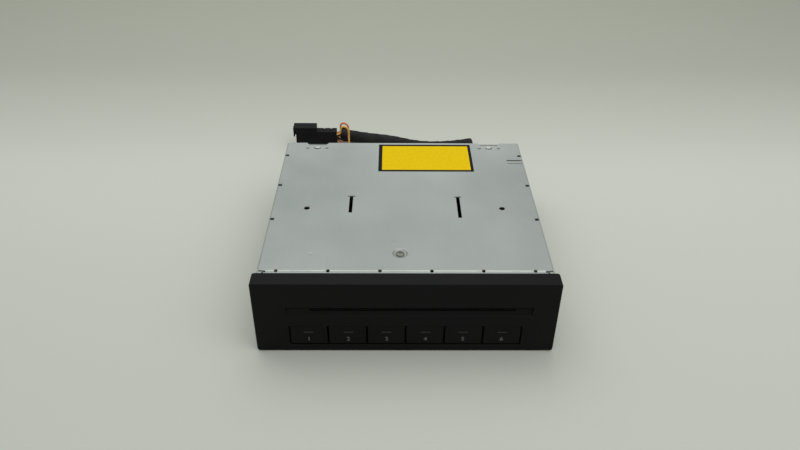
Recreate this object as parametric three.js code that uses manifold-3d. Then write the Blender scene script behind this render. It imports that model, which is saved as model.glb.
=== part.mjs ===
// A six-disc car CD changer that fills one dashboard slot, with its short wire loom.
// Millimetres. X runs to the right seen from the front, Y towards the back, Z up.
// Places are given from the back plane of the fascia (y = 0) and from the underside of the case (z = 0).
// The whole group is moved at the end, so that the origin is under the middle of the unit.

import * as THREE from 'three';
import { mergeVertices } from 'three/addons/utils/BufferGeometryUtils.js';
import Module from 'manifold-3d';

const wasm = await Module();
wasm.setup();

// Driving dimensions: the case, the fascia and the disc.
const caseWidth = 178;
const caseHeight = 50;
const caseDepth = 163.5;
const sheet = 0.8;
const bendShare = 0.3;
const fasciaWidth = 182;
const fasciaHeight = 53;
const fasciaDepth = 10.6;
const fasciaFront = 2.4;
const fasciaSide = 2;
const discDiameter = 120;
const discThickness = 1.2;
const discX = 4;
const discY = 96;
const seat = 0.3;
const runGap = 0.4;
const overrun = 1;

// Levels inside the case, as shares of its height.
const loadShare = 0.652;
const lowestTrayShare = 0.044;
const trayPitchShare = 0.048;
const stackLiftShare = 0.63;
const pinShare = 0.18;
const shelfShare = 0.3;
const armShare = 0.388;
const rodShare = 0.44;
const sledGearShares = [0.51, 0.538];
const lensShare = 0.56;
const tableShare = 0.588;
const loadHeight = loadShare * caseHeight;

// Driving dimensions: the disc stack and its lift.
const trayCount = 6;
const trayThickness = 1.2;
const trayPitch = trayPitchShare * caseHeight;
const lowestTray = lowestTrayShare * caseHeight;
const stackLift = stackLiftShare * caseHeight;
const sliderTravel = 28;
const sliderThickness = 1.2;
const frameSheet = 1;
const pinRadius = 1.5;
const pinHeight = pinShare * caseHeight;
const pinPlaces = [90, 106];

// Driving dimensions: the gears.
const rackModule = 0.8;
const rackPinionTeeth = 14;
const fineModule = 0.5;
const liftWheelTeeth = 24;
const motorPinionTeeth = 12;
const feedWheelTeeth = 30;
const armWheelTeeth = 36;
const swingPinionTeeth = 16;
const shaftRadius = 1.5;
const liftShaftY = 33.6;
const liftShaftZ = 8;

// Driving dimensions: the swing-in play arm, which is parked across the front.
const pivotInset = 20.1;
const pivotY = 18;
const armTop = armShare * caseHeight;
const armPlate = 1.2;
const sledTravel = 35;
const innermostTrack = 23;

// Driving dimensions: the keys.
const keyCount = 6;
const keyWindowInset = 20.7;
const keyWindowWidth = fasciaWidth - 2 * keyWindowInset;
const keyWindowLow = 5.5;
const keyWindowHigh = 20.6;

// Driving dimensions: the loom behind the unit.
const sleeveDiameter = 10.5;
const leadDiameter = 4.6;
const wireDiameter = 1.6;
const socketInset = 34;
const socketX = caseWidth / 2 - socketInset;
const socketZ = 20;

// Places that follow from the sizes above.
const caseHalf = caseWidth / 2;
const coverInside = caseHalf - sheet;
const trayOutside = coverInside - seat;
const trayInside = trayOutside - sheet;
const underCover = caseHeight - sheet;
const sliderOutside = trayInside - runGap;
const sliderInside = sliderOutside - sliderThickness;
const frameOutside = sliderInside - runGap;
const frameInside = frameOutside - frameSheet;
const discRadius = discDiameter / 2;
const topTray = lowestTray + (trayCount - 1) * trayPitch;
const pivotX = frameInside - pivotInset;
const armLength = Math.hypot(pivotX - discX, discY - pivotY);
const quarter = Math.PI / 2;
const rightAngle = THREE.MathUtils.radToDeg(quarter);

// Materials.
const paint = (color, roughness, metalness) => new THREE.MeshStandardMaterial({ color, roughness,
  metalness });
const zinc = paint(0x9fa6a3, 0.42, 0.85);
const steel = paint(0xb4b6b8, 0.35, 0.9);
const blackPlastic = paint(0x171718, 0.55, 0);
const keyPlastic = paint(0x151516, 0.5, 0);
const darkPlastic = paint(0x2a2b2d, 0.6, 0);
const whitePlastic = paint(0xd9d8d2, 0.5, 0);
const rubber = paint(0x222222, 0.9, 0);
const felt = paint(0x101010, 1, 0);
const board = paint(0x1d5a35, 0.55, 0);
const brass = paint(0xb79a56, 0.35, 0.8);
const tape = paint(0x1b1b1c, 0.8, 0);
const orange = paint(0xc8641e, 0.5, 0);
const yellow = paint(0xc9a227, 0.5, 0);

// A closed solid from a three.js geometry.
function solid(geometry) {
  const bare = geometry.clone();
  bare.deleteAttribute('normal');
  bare.deleteAttribute('uv');
  const merged = mergeVertices(bare);
  const vertProperties = new Float32Array(merged.attributes.position.array);
  const triVerts = new Uint32Array(merged.index.array);
  return new wasm.Manifold(new wasm.Mesh({ numProp: 3, vertProperties, triVerts }));
}

// A box between two values along each axis.
function block([x0, x1], [y0, y1], [z0, z1]) {
  const box = new THREE.BoxGeometry(x1 - x0, y1 - y0, z1 - z0);
  return solid(box.translate((x0 + x1) / 2, (y0 + y1) / 2, (z0 + z1) / 2));
}

// A shape drawn in X and Y, from z0 up to z1.
function upright(shape, [z0, z1]) {
  return solid(new THREE.ExtrudeGeometry(shape, { depth: z1 - z0, bevelEnabled: false }).translate(0, 0,
    z0));
}

// A shape drawn in X and Z, from y0 back to y1.
function facing(shape, [y0, y1]) {
  const form = new THREE.ExtrudeGeometry(shape, { depth: y1 - y0, bevelEnabled: false });
  return solid(form.rotateX(quarter).translate(0, y1, 0));
}

// A shape drawn in Y and Z, from x0 across to x1.
function sideways(shape, [x0, x1]) {
  const form = new THREE.ExtrudeGeometry(shape, { depth: x1 - x0, bevelEnabled: false });
  const turn = new THREE.Matrix4().set(0, 0, 1, 0, 1, 0, 0, 0, 0, 1, 0, 0, 0, 0, 0, 1);
  return solid(form.applyMatrix4(turn).translate(x0, 0, 0));
}

// A shape from corner points.
function outline(points) {
  return new THREE.Shape(points.map(([a, b]) => new THREE.Vector2(a, b)));
}

// Points along an arc, with both its ends.
function arc(a, b, radius, from, to, steps) {
  const points = [];
  for (let step = 0; step <= steps; step += 1) {
    const turn = from + (to - from) * step / steps;
    points.push([a + radius * Math.cos(turn), b + radius * Math.sin(turn)]);
  }
  return points;
}

// A rectangle with rounded corners.
const cornerSteps = 2;
function roundedRectangle([a0, a1], [b0, b1], radius, steps = cornerSteps) {
  return outline([
    ...arc(a1 - radius, b0 + radius, radius, -quarter, 0, steps),
    ...arc(a1 - radius, b1 - radius, radius, 0, quarter, steps),
    ...arc(a0 + radius, b1 - radius, radius, quarter, 2 * quarter, steps),
    ...arc(a0 + radius, b0 + radius, radius, 2 * quarter, 3 * quarter, steps),
  ]);
}

// A full circle.
const circleSides = 10;
function circle(a, b, radius, sides = circleSides) {
  return outline(arc(a, b, radius, 0, 4 * quarter, sides).slice(1));
}

// A slot with round ends between two points.
const slotSteps = 4;
function slot([a0, b0], [a1, b1], radius) {
  const lean = Math.atan2(b1 - b0, a1 - a0);
  return outline([
    ...arc(a1, b1, radius, lean - quarter, lean + quarter, slotSteps),
    ...arc(a0, b0, radius, lean + quarter, lean + 3 * quarter, slotSteps),
  ]);
}

// A turned piece: the profile is [radius, height] from the bottom, on the axis at both ends.
function turned(profile, segments = 14) {
  return solid(new THREE.LatheGeometry(profile.map(([r, h]) => new THREE.Vector2(r, h)),
    segments).rotateX(quarter));
}

// A turned piece laid along Y, its profile's heights running towards +Y.
function turnedAlongY(profile, segments = 12) {
  return solid(new THREE.LatheGeometry(profile.map(([r, h]) => new THREE.Vector2(r, h)), segments));
}

// A gear's outline: the first tooth is centred on the angle given, and only the first `cut` teeth are there.
const toothAddendumShare = 0.8;
const toothDedendumShare = 1.5;
const toothTipShare = 0.05;
function gearOutline(teeth, gearModule, firstTooth, cut = teeth) {
  const pitchRadius = teeth * gearModule / 2;
  const tip = pitchRadius + toothAddendumShare * gearModule;
  const root = pitchRadius - toothDedendumShare * gearModule;
  const step = 4 * quarter / teeth;
  const points = [];
  for (let tooth = 0; tooth < teeth; tooth += 1) {
    const places = tooth < cut ? [[root, -1 / 2], [tip, -toothTipShare],
      [tip, toothTipShare]] : [[root, -1 / 2]];
    for (const [radius, share] of places) {
      const turn = firstTooth + (tooth + share) * step;
      points.push([radius * Math.cos(turn), radius * Math.sin(turn)]);
    }
  }
  return outline(points);
}

const pitchOf = (teeth, gearModule) => teeth * gearModule / 2;

const part = new THREE.Group();

// Adds a solid to the part as one named mesh.
function piece(name, body, material) {
  const mesh = body.getMesh();
  const geometry = new THREE.BufferGeometry();
  geometry.setAttribute('position', new THREE.BufferAttribute(new Float32Array(mesh.vertProperties), 3));
  geometry.setIndex(new THREE.BufferAttribute(new Uint32Array(mesh.triVerts), 1));
  const flat = geometry.toNonIndexed();
  flat.computeVertexNormals();
  const node = new THREE.Mesh(flat, material.clone());
  node.name = name;
  part.add(node);
}

// The fascia is a moulded tray, open at the back, with a slot in a finger recess and one window for the keys.
const slotSpare = 2.2;
const slotWidth = discDiameter + slotSpare;
const slotTall = 2.2;
const keyGap = 0.7;
const keyEdgeGap = 0.4;
const clipRowShares = [[0.48, 0.6], [0.72, 0.84]];
const clipRows = clipRowShares.map((row) => row.map((share) => share * caseHeight));
const clipLength = 6;
const clipThickness = 1.4;
const flapRise = 4.4;
const flapPivot = { y: -5.4, z: loadHeight + flapRise, radius: 0.8 };
const flapMargin = 2.5;
const flapEnds = [discX - slotWidth / 2 - flapMargin, discX + slotWidth / 2 + flapMargin];
const flapEarThickness = 1.6;
const boardBack = -1;
const boardThickness = 1.6;
const boardInset = 9;
const boardHalf = fasciaWidth / 2 - fasciaSide - boardInset;
function fascia() {
  const rim = 1.2;
  const corner = 0.8;
  const half = fasciaWidth / 2;
  const back = [-fasciaDepth + fasciaFront, 0];
  const face = roundedRectangle([-half + rim, half - rim], [rim, fasciaHeight - rim], corner);
  const moulded = new THREE.ExtrudeGeometry(face, {
    depth: fasciaDepth - rim, bevelEnabled: true, bevelThickness: rim, bevelSize: rim, bevelSegments: 2,
  });
  let shell = solid(moulded.rotateX(quarter));
  shell = shell.intersect(block([-half, half], [-fasciaDepth, 0], [0, fasciaHeight]));
  const roomX = half - fasciaSide;
  shell = shell.subtract(block([-roomX, roomX], [back[0], back[1] + overrun],
    [fasciaSide, fasciaHeight - fasciaSide]));
  const recessShift = -2;
  const recessInset = 17.6;
  const recessHalf = half - recessInset;
  const recessEnds = [discX + recessShift - recessHalf, discX + recessShift + recessHalf];
  const recessDeep = 1.4;
  const recessLip = 0.5;
  const recessTop = 3.5;
  const recessLow = 3.9;
  const front = -fasciaDepth;
  const recess = outline([
    [front - overrun, loadHeight + recessTop + overrun],
    [front, loadHeight + recessTop],
    [front + recessDeep, loadHeight + slotTall / 2],
    [front + recessDeep, loadHeight - slotTall / 2],
    [front + recessLip, loadHeight - recessLow],
    [front - overrun, loadHeight - recessLow],
  ]);
  shell = shell.subtract(sideways(recess, recessEnds));
  const slotEnds = [discX - slotWidth / 2, discX + slotWidth / 2];
  shell = shell.subtract(block(slotEnds, [front - overrun, back[0] + overrun],
    [loadHeight - slotTall / 2, loadHeight + slotTall / 2]));
  const windowShape = roundedRectangle([-keyWindowWidth / 2, keyWindowWidth / 2],
    [keyWindowLow, keyWindowHigh], keyGap);
  shell = shell.subtract(facing(windowShape, [front - overrun, back[0] + overrun]));
  const postRadius = 3;
  const postX = boardHalf - postRadius - rim;
  for (const side of [-1, 1]) {
    const post = facing(circle(side * postX, (keyWindowLow + keyWindowHigh) / 2, postRadius),
      [back[0] - rim / 2, boardBack - boardThickness - seat]);
    const outer = side * (trayInside - seat);
    const inner = side * (trayInside - seat - clipThickness);
    const across = [Math.min(inner, outer), Math.max(inner, outer)];
    shell = shell.add(post);
    for (const rows of clipRows) {
      const nubDeep = seat + sheet / 2;
      const clip = block(across, [back[0] - rim / 2, clipLength], rows);
      const foot = block([Math.min(inner, side * half - side * rim),
        Math.max(inner, side * half - side * rim)],
        [back[0] - rim / 2, back[0] + rim], rows);
      const nubMiddle = (rows[0] + rows[1]) / 2;
      const nub = outline([[outer - side * rim / 2, clipLength],
        [outer - side * rim / 2, clipLength - 2 * rim],
        [outer + side * nubDeep, clipLength - 2 * rim]]);
      const nubForm = side > 0 ? nub : outline(nub.getPoints().map((p) => [p.x, p.y]).reverse());
      shell = shell.add(clip).add(foot);
      shell = shell.add(upright(nubForm, [nubMiddle - nubDeep * 2, nubMiddle + nubDeep * 2]));
    }
    const end = side < 0 ? flapEnds[0] : flapEnds[1];
    const earAcross = side < 0 ? [end - flapEarThickness, end] : [end, end + flapEarThickness];
    const earReach = 1.8;
    const ear = roundedRectangle([back[0] - rim / 2, flapPivot.y + earReach],
      [flapPivot.z - earReach, flapPivot.z + earReach],
      rim / 2);
    ear.holes.push(circle(flapPivot.y, flapPivot.z, flapPivot.radius + seat));
    shell = shell.add(sideways(ear, earAcross));
  }
  piece('fascia', shell, blackPlastic);
}

// The keys stand side by side in the window. A lip above and below each holds it behind the fascia's wall.
const keyWidth = (keyWindowWidth - 2 * keyEdgeGap - (keyCount - 1) * keyGap) / keyCount;
function keys() {
  const sunk = 0.2;
  const rounding = 0.6;
  const lip = 1.2;
  const lipThickness = 1;
  const lipFront = -fasciaDepth + fasciaFront + seat;
  for (let key = 0; key < keyCount; key += 1) {
    const left = -keyWindowWidth / 2 + keyEdgeGap + key * (keyWidth + keyGap);
    const across = [left, left + keyWidth];
    const tall = [keyWindowLow + keyEdgeGap, keyWindowHigh - keyEdgeGap];
    const inner = roundedRectangle([across[0] + rounding, across[1] - rounding],
      [tall[0] + rounding, tall[1] - rounding], rounding / 2, 1);
    const cap = new THREE.ExtrudeGeometry(inner, {
      depth: fasciaDepth - sunk + lipFront, bevelEnabled: true, bevelThickness: rounding,
        bevelSize: rounding,
      bevelSegments: 1,
    });
    const front = -fasciaDepth + sunk;
    let body = solid(cap.rotateX(quarter).translate(0, lipFront + rounding, 0));
    body = body.intersect(block(across, [front, lipFront + lipThickness / 2], tall));
    body = body.add(block(across, [lipFront, lipFront + lipThickness], [tall[0] - lip, tall[1] + lip]));
    piece(`button_${key + 1}`, body, keyPlastic);
  }
}

// The key board carries one switch behind each key, and a lamp between each pair.
function keyBoard() {
  const low = 3.2;
  const high = 23.5;
  const switchSize = 6;
  const switchDeep = 3.1;
  const knobRadius = 1.6;
  const knobDeep = 0.3;
  const lampSize = 1.8;
  const lampShare = 0.333;
  const front = boardBack - boardThickness;
  const height = (keyWindowLow + keyWindowHigh) / 2;
  let body = block([-boardHalf, boardHalf], [front, boardBack], [low, high]);
  for (let key = 0; key < keyCount; key += 1) {
    const x = -keyWindowWidth / 2 + keyEdgeGap + key * (keyWidth + keyGap) + keyWidth / 2;
    body = body.add(block([x - switchSize / 2, x + switchSize / 2], [front - switchDeep, front + knobDeep],
      [height - switchSize / 2, height + switchSize / 2]));
    body = body.add(facing(circle(x, height, knobRadius), [front - switchDeep - knobDeep, front]));
    const lampX = x - lampShare * keyWidth;
    body = body.add(block([lampX - lampSize / 2, lampX + lampSize / 2],
      [front - lampSize / 2, front + knobDeep],
      [height - lampSize / 2, height + lampSize / 2]));
  }
  piece('key_board', body, board);
}

// A felt pad with a slit wipes the disc, and behind it a hinged flap keeps the dust out.
function slotSeals() {
  const border = 3;
  const slit = 1;
  const padThickness = 1;
  const padFront = -fasciaDepth + fasciaFront + seat;
  const flapThickness = 0.8;
  const flapDrop = 6.6;
  const half = slotWidth / 2;
  const pad = roundedRectangle([discX - half - slit, discX + half + slit],
    [loadHeight - border, loadHeight + border], slit);
  pad.holes.push(roundedRectangle([discX - half + slit, discX + half - slit],
    [loadHeight - slit / 2, loadHeight + slit / 2],
    slit / 4));
  piece('slot_felt', facing(pad, [padFront, padFront + padThickness]), felt);
  const inside = [flapEnds[0] + seat, flapEnds[1] - seat];
  let flap = block(inside, [flapPivot.y - flapThickness / 2, flapPivot.y + flapThickness / 2],
    [flapPivot.z - flapDrop, flapPivot.z]);
  const journal = circle(flapPivot.y, flapPivot.z, flapPivot.radius);
  flap = flap.add(sideways(journal, [flapEnds[0] - flapEarThickness, flapEnds[1] + flapEarThickness]));
  piece('dust_flap', flap, darkPlastic);
}

// The chassis tray is folded steel: a floor, two sides with hooks for the cover, and a low front lip.
const hookShares = [0.367, 0.624, 0.881];
const hookPlaces = hookShares.map((share) => share * caseDepth);
const hookLength = 3.4;
const sideHoleRadius = 2.1;
const sideHoleShare = 0.64;
const frontHoleY = 14;
const rearHoleInset = 7.5;
const sideHoles = [frontHoleY, caseDepth - rearHoleInset].map((y) => [y, sideHoleShare * caseHeight]);
const padRadius = 5;
const padProud = 0.5;
const sideScrewShare = 0.44;
const sideScrew = { y: caseDepth - rearHoleInset, z: sideScrewShare * caseHeight, shank: 1.2, head: 2.6 };
const damperInset = 8.1;
const damperFront = 10;
const damperRearInset = 13.5;
const damperX = frameInside - damperInset;
const damperPlaces = [[-damperX, damperFront], [damperX, damperFront],
  [-damperX, caseDepth - damperRearInset],
  [damperX, caseDepth - damperRearInset]];
function chassisTray() {
  const lip = 3;
  const bend = 1.2;
  const sideTop = underCover - seat;
  const section = outline([[-trayOutside, bend], [-trayOutside + bendShare * bend, bendShare * bend],
    [-trayOutside + bend, 0],
    [trayOutside - bend, 0], [trayOutside - bendShare * bend, bendShare * bend], [trayOutside, bend],
      [trayOutside, sideTop],
    [trayInside, sideTop], [trayInside, sheet], [-trayInside, sheet], [-trayInside, sideTop],
      [-trayOutside, sideTop]]);
  const front = seat;
  let body = facing(section, [front, caseDepth]);
  body = body.add(block([-trayInside + lip, trayInside - lip], [front, front + sheet], [sheet / 2, lip]));
  const hookTop = sideTop + sheet + seat / 2;
  for (const side of [-1, 1]) {
    const across = [Math.min(side * trayInside, side * trayOutside),
      Math.max(side * trayInside, side * trayOutside)];
    const past = [across[0] - overrun, across[1] + overrun];
    for (const y of hookPlaces) {
      body = body.add(block(across, [y - hookLength / 2, y + hookLength / 2], [sideTop - sheet, hookTop]));
    }
    for (const rows of clipRows) {
      body = body.subtract(block(past, [clipLength - lip, clipLength + seat],
        [rows[0] + overrun, rows[1] - overrun]));
    }
    for (const [y, z] of sideHoles) {
      const pad = [side * (trayOutside - sheet / 2), side * (trayOutside + padProud)].sort((a, b) => a - b);
      body = body.add(sideways(circle(y, z, padRadius, 12), pad));
      body = body.subtract(sideways(circle(y, z, sideHoleRadius), past));
    }
    body = body.subtract(sideways(circle(sideScrew.y, sideScrew.z, sideScrew.shank + seat), past));
  }
  const slotPitch = 9;
  const slotHalf = 9;
  const slotRadius = 1.2;
  const slotY = 19;
  for (const step of [-2, -1, 0, 1, 2]) {
    const vent = slot([step * slotPitch, slotY - slotHalf], [step * slotPitch, slotY + slotHalf],
      slotRadius);
    body = body.subtract(upright(vent, [-overrun, sheet + overrun]));
  }
  for (const [x, y] of damperPlaces) {
    body = body.subtract(upright(circle(x, y, slotRadius), [-overrun, sheet + overrun]));
  }
  piece('chassis_tray', body, zinc);
}

// The top cover is a flat lid with short sides. Its front edge steps down behind the fascia.
const coverScrew = { x: -3.3, y: 23.4, head: 2.7, shank: 1.5, dimple: 4.6, deep: 1 };
function topCover() {
  const skirt = 9.5;
  const bend = 0.8;
  const stepBack = 6.4;
  const stepDown = 0.6;
  const section = outline([[-caseHalf, caseHeight - skirt], [-coverInside, caseHeight - skirt],
    [-coverInside, underCover],
    [coverInside, underCover], [coverInside, caseHeight - skirt], [caseHalf, caseHeight - skirt],
    [caseHalf, caseHeight - bend], [caseHalf - bendShare * bend, caseHeight - bendShare * bend],
      [caseHalf - bend, caseHeight],
    [-caseHalf + bend, caseHeight], [-caseHalf + bendShare * bend, caseHeight - bendShare * bend],
      [-caseHalf, caseHeight - bend]]);
  let lid = facing(section, [seat, caseDepth]);
  const lipSide = caseHalf - bend * 4;
  lid = lid.subtract(block([-lipSide, lipSide], [-overrun, stepBack],
    [caseHeight - stepDown, caseHeight + overrun]));
  lid = lid.add(block([-lipSide, lipSide], [seat, stepBack + bend],
    [underCover - stepDown, underCover + bend / 4]));
  const cut = [underCover - stepDown - overrun, caseHeight + overrun];
  const notchRadius = 1.1;
  const notchShares = [-0.435, -0.261, -0.087, 0.087, 0.261, 0.435];
  for (const share of notchShares) {
    lid = lid.subtract(upright(circle(share * caseWidth, stepBack, notchRadius, 8), cut));
  }
  const hookRoom = seat + seat / 2;
  for (const side of [-1, 1]) {
    const hookAcross = [side * (trayInside - hookRoom), side * (trayOutside + seat)].sort((a, b) => a - b);
    for (const y of hookPlaces) {
      lid = lid.subtract(block(hookAcross, [y - hookLength / 2 - hookRoom, y + hookLength / 2 + hookRoom],
        cut));
    }
    const cornerAcross = [side * (lipSide - bend), side * lipSide].sort((a, b) => a - b);
    lid = lid.subtract(block(cornerAcross, [-overrun, stepBack], cut));
  }
  const holeInset = 23.5;
  const holeX = caseHalf - holeInset;
  const holeY = 73;
  const holeRadius = 2;
  const longSlots = [[-36.2, 67.8, 88.3], [36.6, 61.9, 87.6]];
  const longSlotHalf = 1.2;
  const slotHeadHalf = 2.4;
  for (const side of [-1, 1]) {
    lid = lid.subtract(upright(circle(side * holeX, holeY, holeRadius, 12), cut));
  }
  for (const [x, y0, y1] of longSlots) {
    lid = lid.subtract(block([x - longSlotHalf, x + longSlotHalf], [y0, y1], cut));
    lid = lid.subtract(block([x - slotHeadHalf, x + slotHeadHalf], [y1 - longSlotHalf, y1], cut));
  }
  const clipHalf = 7.3;
  const clipInset = 6.5;
  const clipY = caseDepth - clipInset;
  const clipDeep = 1.1;
  const edgeHalf = 8.5;
  for (const side of [-1, 1]) {
    lid = lid.subtract(block([side * holeX - clipHalf, side * holeX + clipHalf], [clipY, clipY + clipDeep],
      cut));
    lid = lid.subtract(block([side * holeX - edgeHalf, side * holeX + edgeHalf],
      [caseDepth - clipDeep, caseDepth + overrun],
      cut));
  }
  const lanceInset = 12.3;
  const lanceInner = caseHalf - lanceInset;
  const lanceY = 133.2;
  const lancePitch = 4.2;
  const lanceWide = 0.9;
  for (const row of [0, 1]) {
    const y = lanceY + row * lancePitch;
    lid = lid.subtract(block([lanceInner, coverInside - seat], [y, y + lanceWide], cut));
  }
  const { x, y, dimple, deep, shank } = coverScrew;
  const slope = dimple - deep;
  const pressed = turned([[0, underCover - deep], [slope, underCover - deep], [dimple, underCover],
    [dimple, underCover + sheet / 2], [0, underCover + sheet / 2]], 12);
  const hollow = turned([[0, caseHeight - deep], [slope, caseHeight - deep], [dimple, caseHeight],
    [dimple, caseHeight + overrun], [0, caseHeight + overrun]], 12);
  lid = lid.add(pressed.translate([x, y, 0])).subtract(hollow.translate([x, y, 0]));
  lid = lid.subtract(upright(circle(x, y, shank + seat),
    [underCover - deep - overrun, caseHeight + overrun]));
  piece('top_cover', lid, zinc);
}

// The rear panel has a window for the socket, a row of air slots and two flanges for the side screws.
const socketWidth = 20.8;
const socketTall = 13.8;
function rearPanel() {
  const high = underCover - seat;
  const low = sheet + seat;
  const half = trayInside - seat;
  const back = caseDepth - sheet;
  const flangeFront = caseDepth - rearHoleInset - padRadius - sheet;
  const flangeInset = 2.9;
  const flangeLow = low + flangeInset;
  const flangeHigh = high - flangeInset;
  const face = roundedRectangle([-half, half], [low, high], sheet);
  face.holes.push(roundedRectangle([socketX - socketWidth / 2 - seat, socketX + socketWidth / 2 + seat],
    [socketZ - socketTall / 2 - seat, socketZ + socketTall / 2 + seat], seat));
  const ventPitch = 7;
  const ventShares = [0.28, 0.72];
  const [ventLow, ventHigh] = ventShares.map((share) => share * caseHeight);
  const ventRadius = 1.1;
  const ventInset = 27;
  const ventX = ventInset - caseHalf;
  const vents = 5;
  for (let step = 0; step < vents; step += 1) {
    face.holes.push(slot([ventX + step * ventPitch, ventLow], [ventX + step * ventPitch, ventHigh],
      ventRadius));
  }
  let body = facing(face, [back, caseDepth]);
  for (const side of [-1, 1]) {
    const across = [side * half, side * (half - sheet)].sort((a, b) => a - b);
    body = body.add(block(across, [flangeFront, back + sheet / 2], [flangeLow, flangeHigh]));
    const past = [across[0] - overrun, across[1] + overrun];
    for (const [y, z] of [...sideHoles.slice(1), [sideScrew.y, sideScrew.z]]) {
      body = body.subtract(sideways(circle(y, z, sideScrew.shank + seat), past));
    }
  }
  piece('rear_panel', body, zinc);
}

// Screws: one in the pressed dimple of the cover, and one in each side at the back.
function crossCut(radius, depth) {
  const armShareOfHead = 0.22;
  const reachShare = 0.62;
  const arm = armShareOfHead * radius;
  const reach = reachShare * radius;
  return block([-reach, reach], [-arm, arm], [-depth, overrun]).add(block([-arm, arm], [-reach, reach],
    [-depth, overrun]));
}
function screws() {
  const { x, y, head, shank, deep } = coverScrew;
  const headTall = 1.4;
  const long = 3.4;
  const under = caseHeight - deep + seat / 2;
  const screwSides = 12;
  const edgeShare = 0.4;
  const domeShare = 0.75;
  const domeTop = under + domeShare * headTall;
  let top = turned([[0, under - long], [shank, under - long], [shank, under], [head, under],
    [head, under + edgeShare * headTall], [domeShare * head, domeTop], [0, domeTop]], screwSides);
  top = top.subtract(crossCut(head, headTall / 2).translate([0, 0, domeTop]));
  piece('cover_screw', top.translate([x, y, 0]), steel);
  const headOut = caseHalf;
  const headIn = trayOutside + seat;
  const tip = frameOutside + seat;
  for (const [name, side] of [['side_screw_left', -1], ['side_screw_right', 1]]) {
    const profile = [[0, tip], [sideScrew.shank, tip], [sideScrew.shank, headIn], [sideScrew.head, headIn],
      [domeShare * sideScrew.head, headOut], [0, headOut]];
    let body = turned(profile, screwSides);
    body = body.subtract(crossCut(sideScrew.head, sheet / 2).translate([0, 0, headOut]));
    body = body.rotate([0, side * rightAngle, 0]).translate([0, sideScrew.y, sideScrew.z]);
    piece(name, body, steel);
  }
}

// The mechanism frame is folded steel: two sides, a rear wall, two front beams, four feet, the arm's shelf.
const shelfZ = [shelfShare * caseHeight, shelfShare * caseHeight + frameSheet];
const footLow = 7.6;
const footZ = [footLow, footLow + frameSheet];
const frameFront = 2.2;
const frameBackInset = 3.3;
const frameBack = caseDepth - frameBackInset;
const frameLow = 1.2;
const frameHigh = underCover - sheet;
const studRadius = 0.9;
const studPlaces = [68, 112];
const studDrop = 3.1;
const studHeight = frameHigh - studDrop;
const swingReach = pitchOf(armWheelTeeth, fineModule) + pitchOf(swingPinionTeeth, fineModule);
const swingLean = THREE.MathUtils.degToRad(20);
const swingX = pivotX + swingReach * Math.cos(swingLean);
const swingY = pivotY + swingReach * Math.sin(swingLean);
const pivotPinRadius = 2.5;
const pivotPinShare = 0.492;
const pivotPinTop = pivotPinShare * caseHeight;
function mechFrame() {
  const lowerBeamHigh = shelfZ[0];
  const beamTall = 5.9;
  const upperBeamLow = frameHigh - beamTall;
  const wall = roundedRectangle([frameFront, frameBack], [frameLow, frameHigh], frameSheet);
  for (const y of pinPlaces) {
    wall.holes.push(slot([y, pinHeight], [y, pinHeight + stackLift], pinRadius + seat));
  }
  wall.holes.push(circle(liftShaftY, liftShaftZ, shaftRadius + seat / 2));
  const windowRound = 3;
  const windowHeight = [0.32, 0.8].map((share) => share * caseHeight);
  const windowShares = [[0.27, 0.49], [0.74, 0.88]];
  for (const shares of windowShares) {
    wall.holes.push(roundedRectangle(shares.map((share) => share * caseDepth), windowHeight, windowRound));
  }
  let body = block([-frameOutside, frameOutside], [frameFront, frameFront + frameSheet],
    [frameLow, lowerBeamHigh]);
  body = body.add(block([-frameOutside, frameOutside], [frameFront, frameFront + frameSheet],
    [upperBeamLow, frameHigh]));
  const rear = roundedRectangle([-frameOutside, frameOutside], [frameLow, frameHigh], frameSheet);
  const socketRoom = overrun + seat;
  rear.holes.push(roundedRectangle([socketX - socketWidth / 2 - socketRoom,
    socketX + socketWidth / 2 + socketRoom],
    [socketZ - socketTall / 2 - socketRoom, socketZ + socketTall / 2 + socketRoom], frameSheet));
  const rearWindowShares = [-0.35, -0.11];
  rear.holes.push(roundedRectangle(rearWindowShares.map((share) => share * caseWidth), windowHeight,
    windowRound));
  body = body.add(facing(rear, [frameBack - frameSheet, frameBack]));
  for (const side of [-1, 1]) {
    const across = [side * frameInside, side * frameOutside].sort((a, b) => a - b);
    body = body.add(sideways(wall, across));
    for (const y of studPlaces) {
      const studAcross = [side * (frameInside + frameSheet / 2),
        side * (sliderOutside + seat / 2)].sort((a, b) => a - b);
      body = body.add(sideways(circle(y, studHeight, studRadius, 8), studAcross));
    }
  }
  for (const [x, y] of damperPlaces) {
    const footReach = 5;
    const footAcross = [Math.sign(x) * (Math.abs(x) - footReach),
      Math.sign(x) * (frameInside + frameSheet / 2)];
    body = body.add(block(footAcross.sort((a, b) => a - b), [y - footReach, y + footReach], footZ));
    body = body.subtract(upright(circle(x, y, studRadius + seat),
      [footZ[0] - overrun, footZ[1] + overrun]));
  }
  const shelfReach = 14;
  const shelfLeft = pivotX - shelfReach;
  const shelfFront = frameFront + frameSheet / 2;
  const shelfBack = 31;
  const shelf = roundedRectangle([shelfLeft, frameInside + frameSheet / 2], [shelfFront, shelfBack],
    frameSheet / 2);
  shelf.holes.push(circle(swingX, swingY, shaftRadius + seat));
  body = body.add(upright(shelf, shelfZ));
  body = body.add(upright(circle(pivotX, pivotY, pivotPinRadius),
    [shelfZ[0] + frameSheet / 2, pivotPinTop]));
  piece('mech_frame', body, steel);
}

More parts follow.
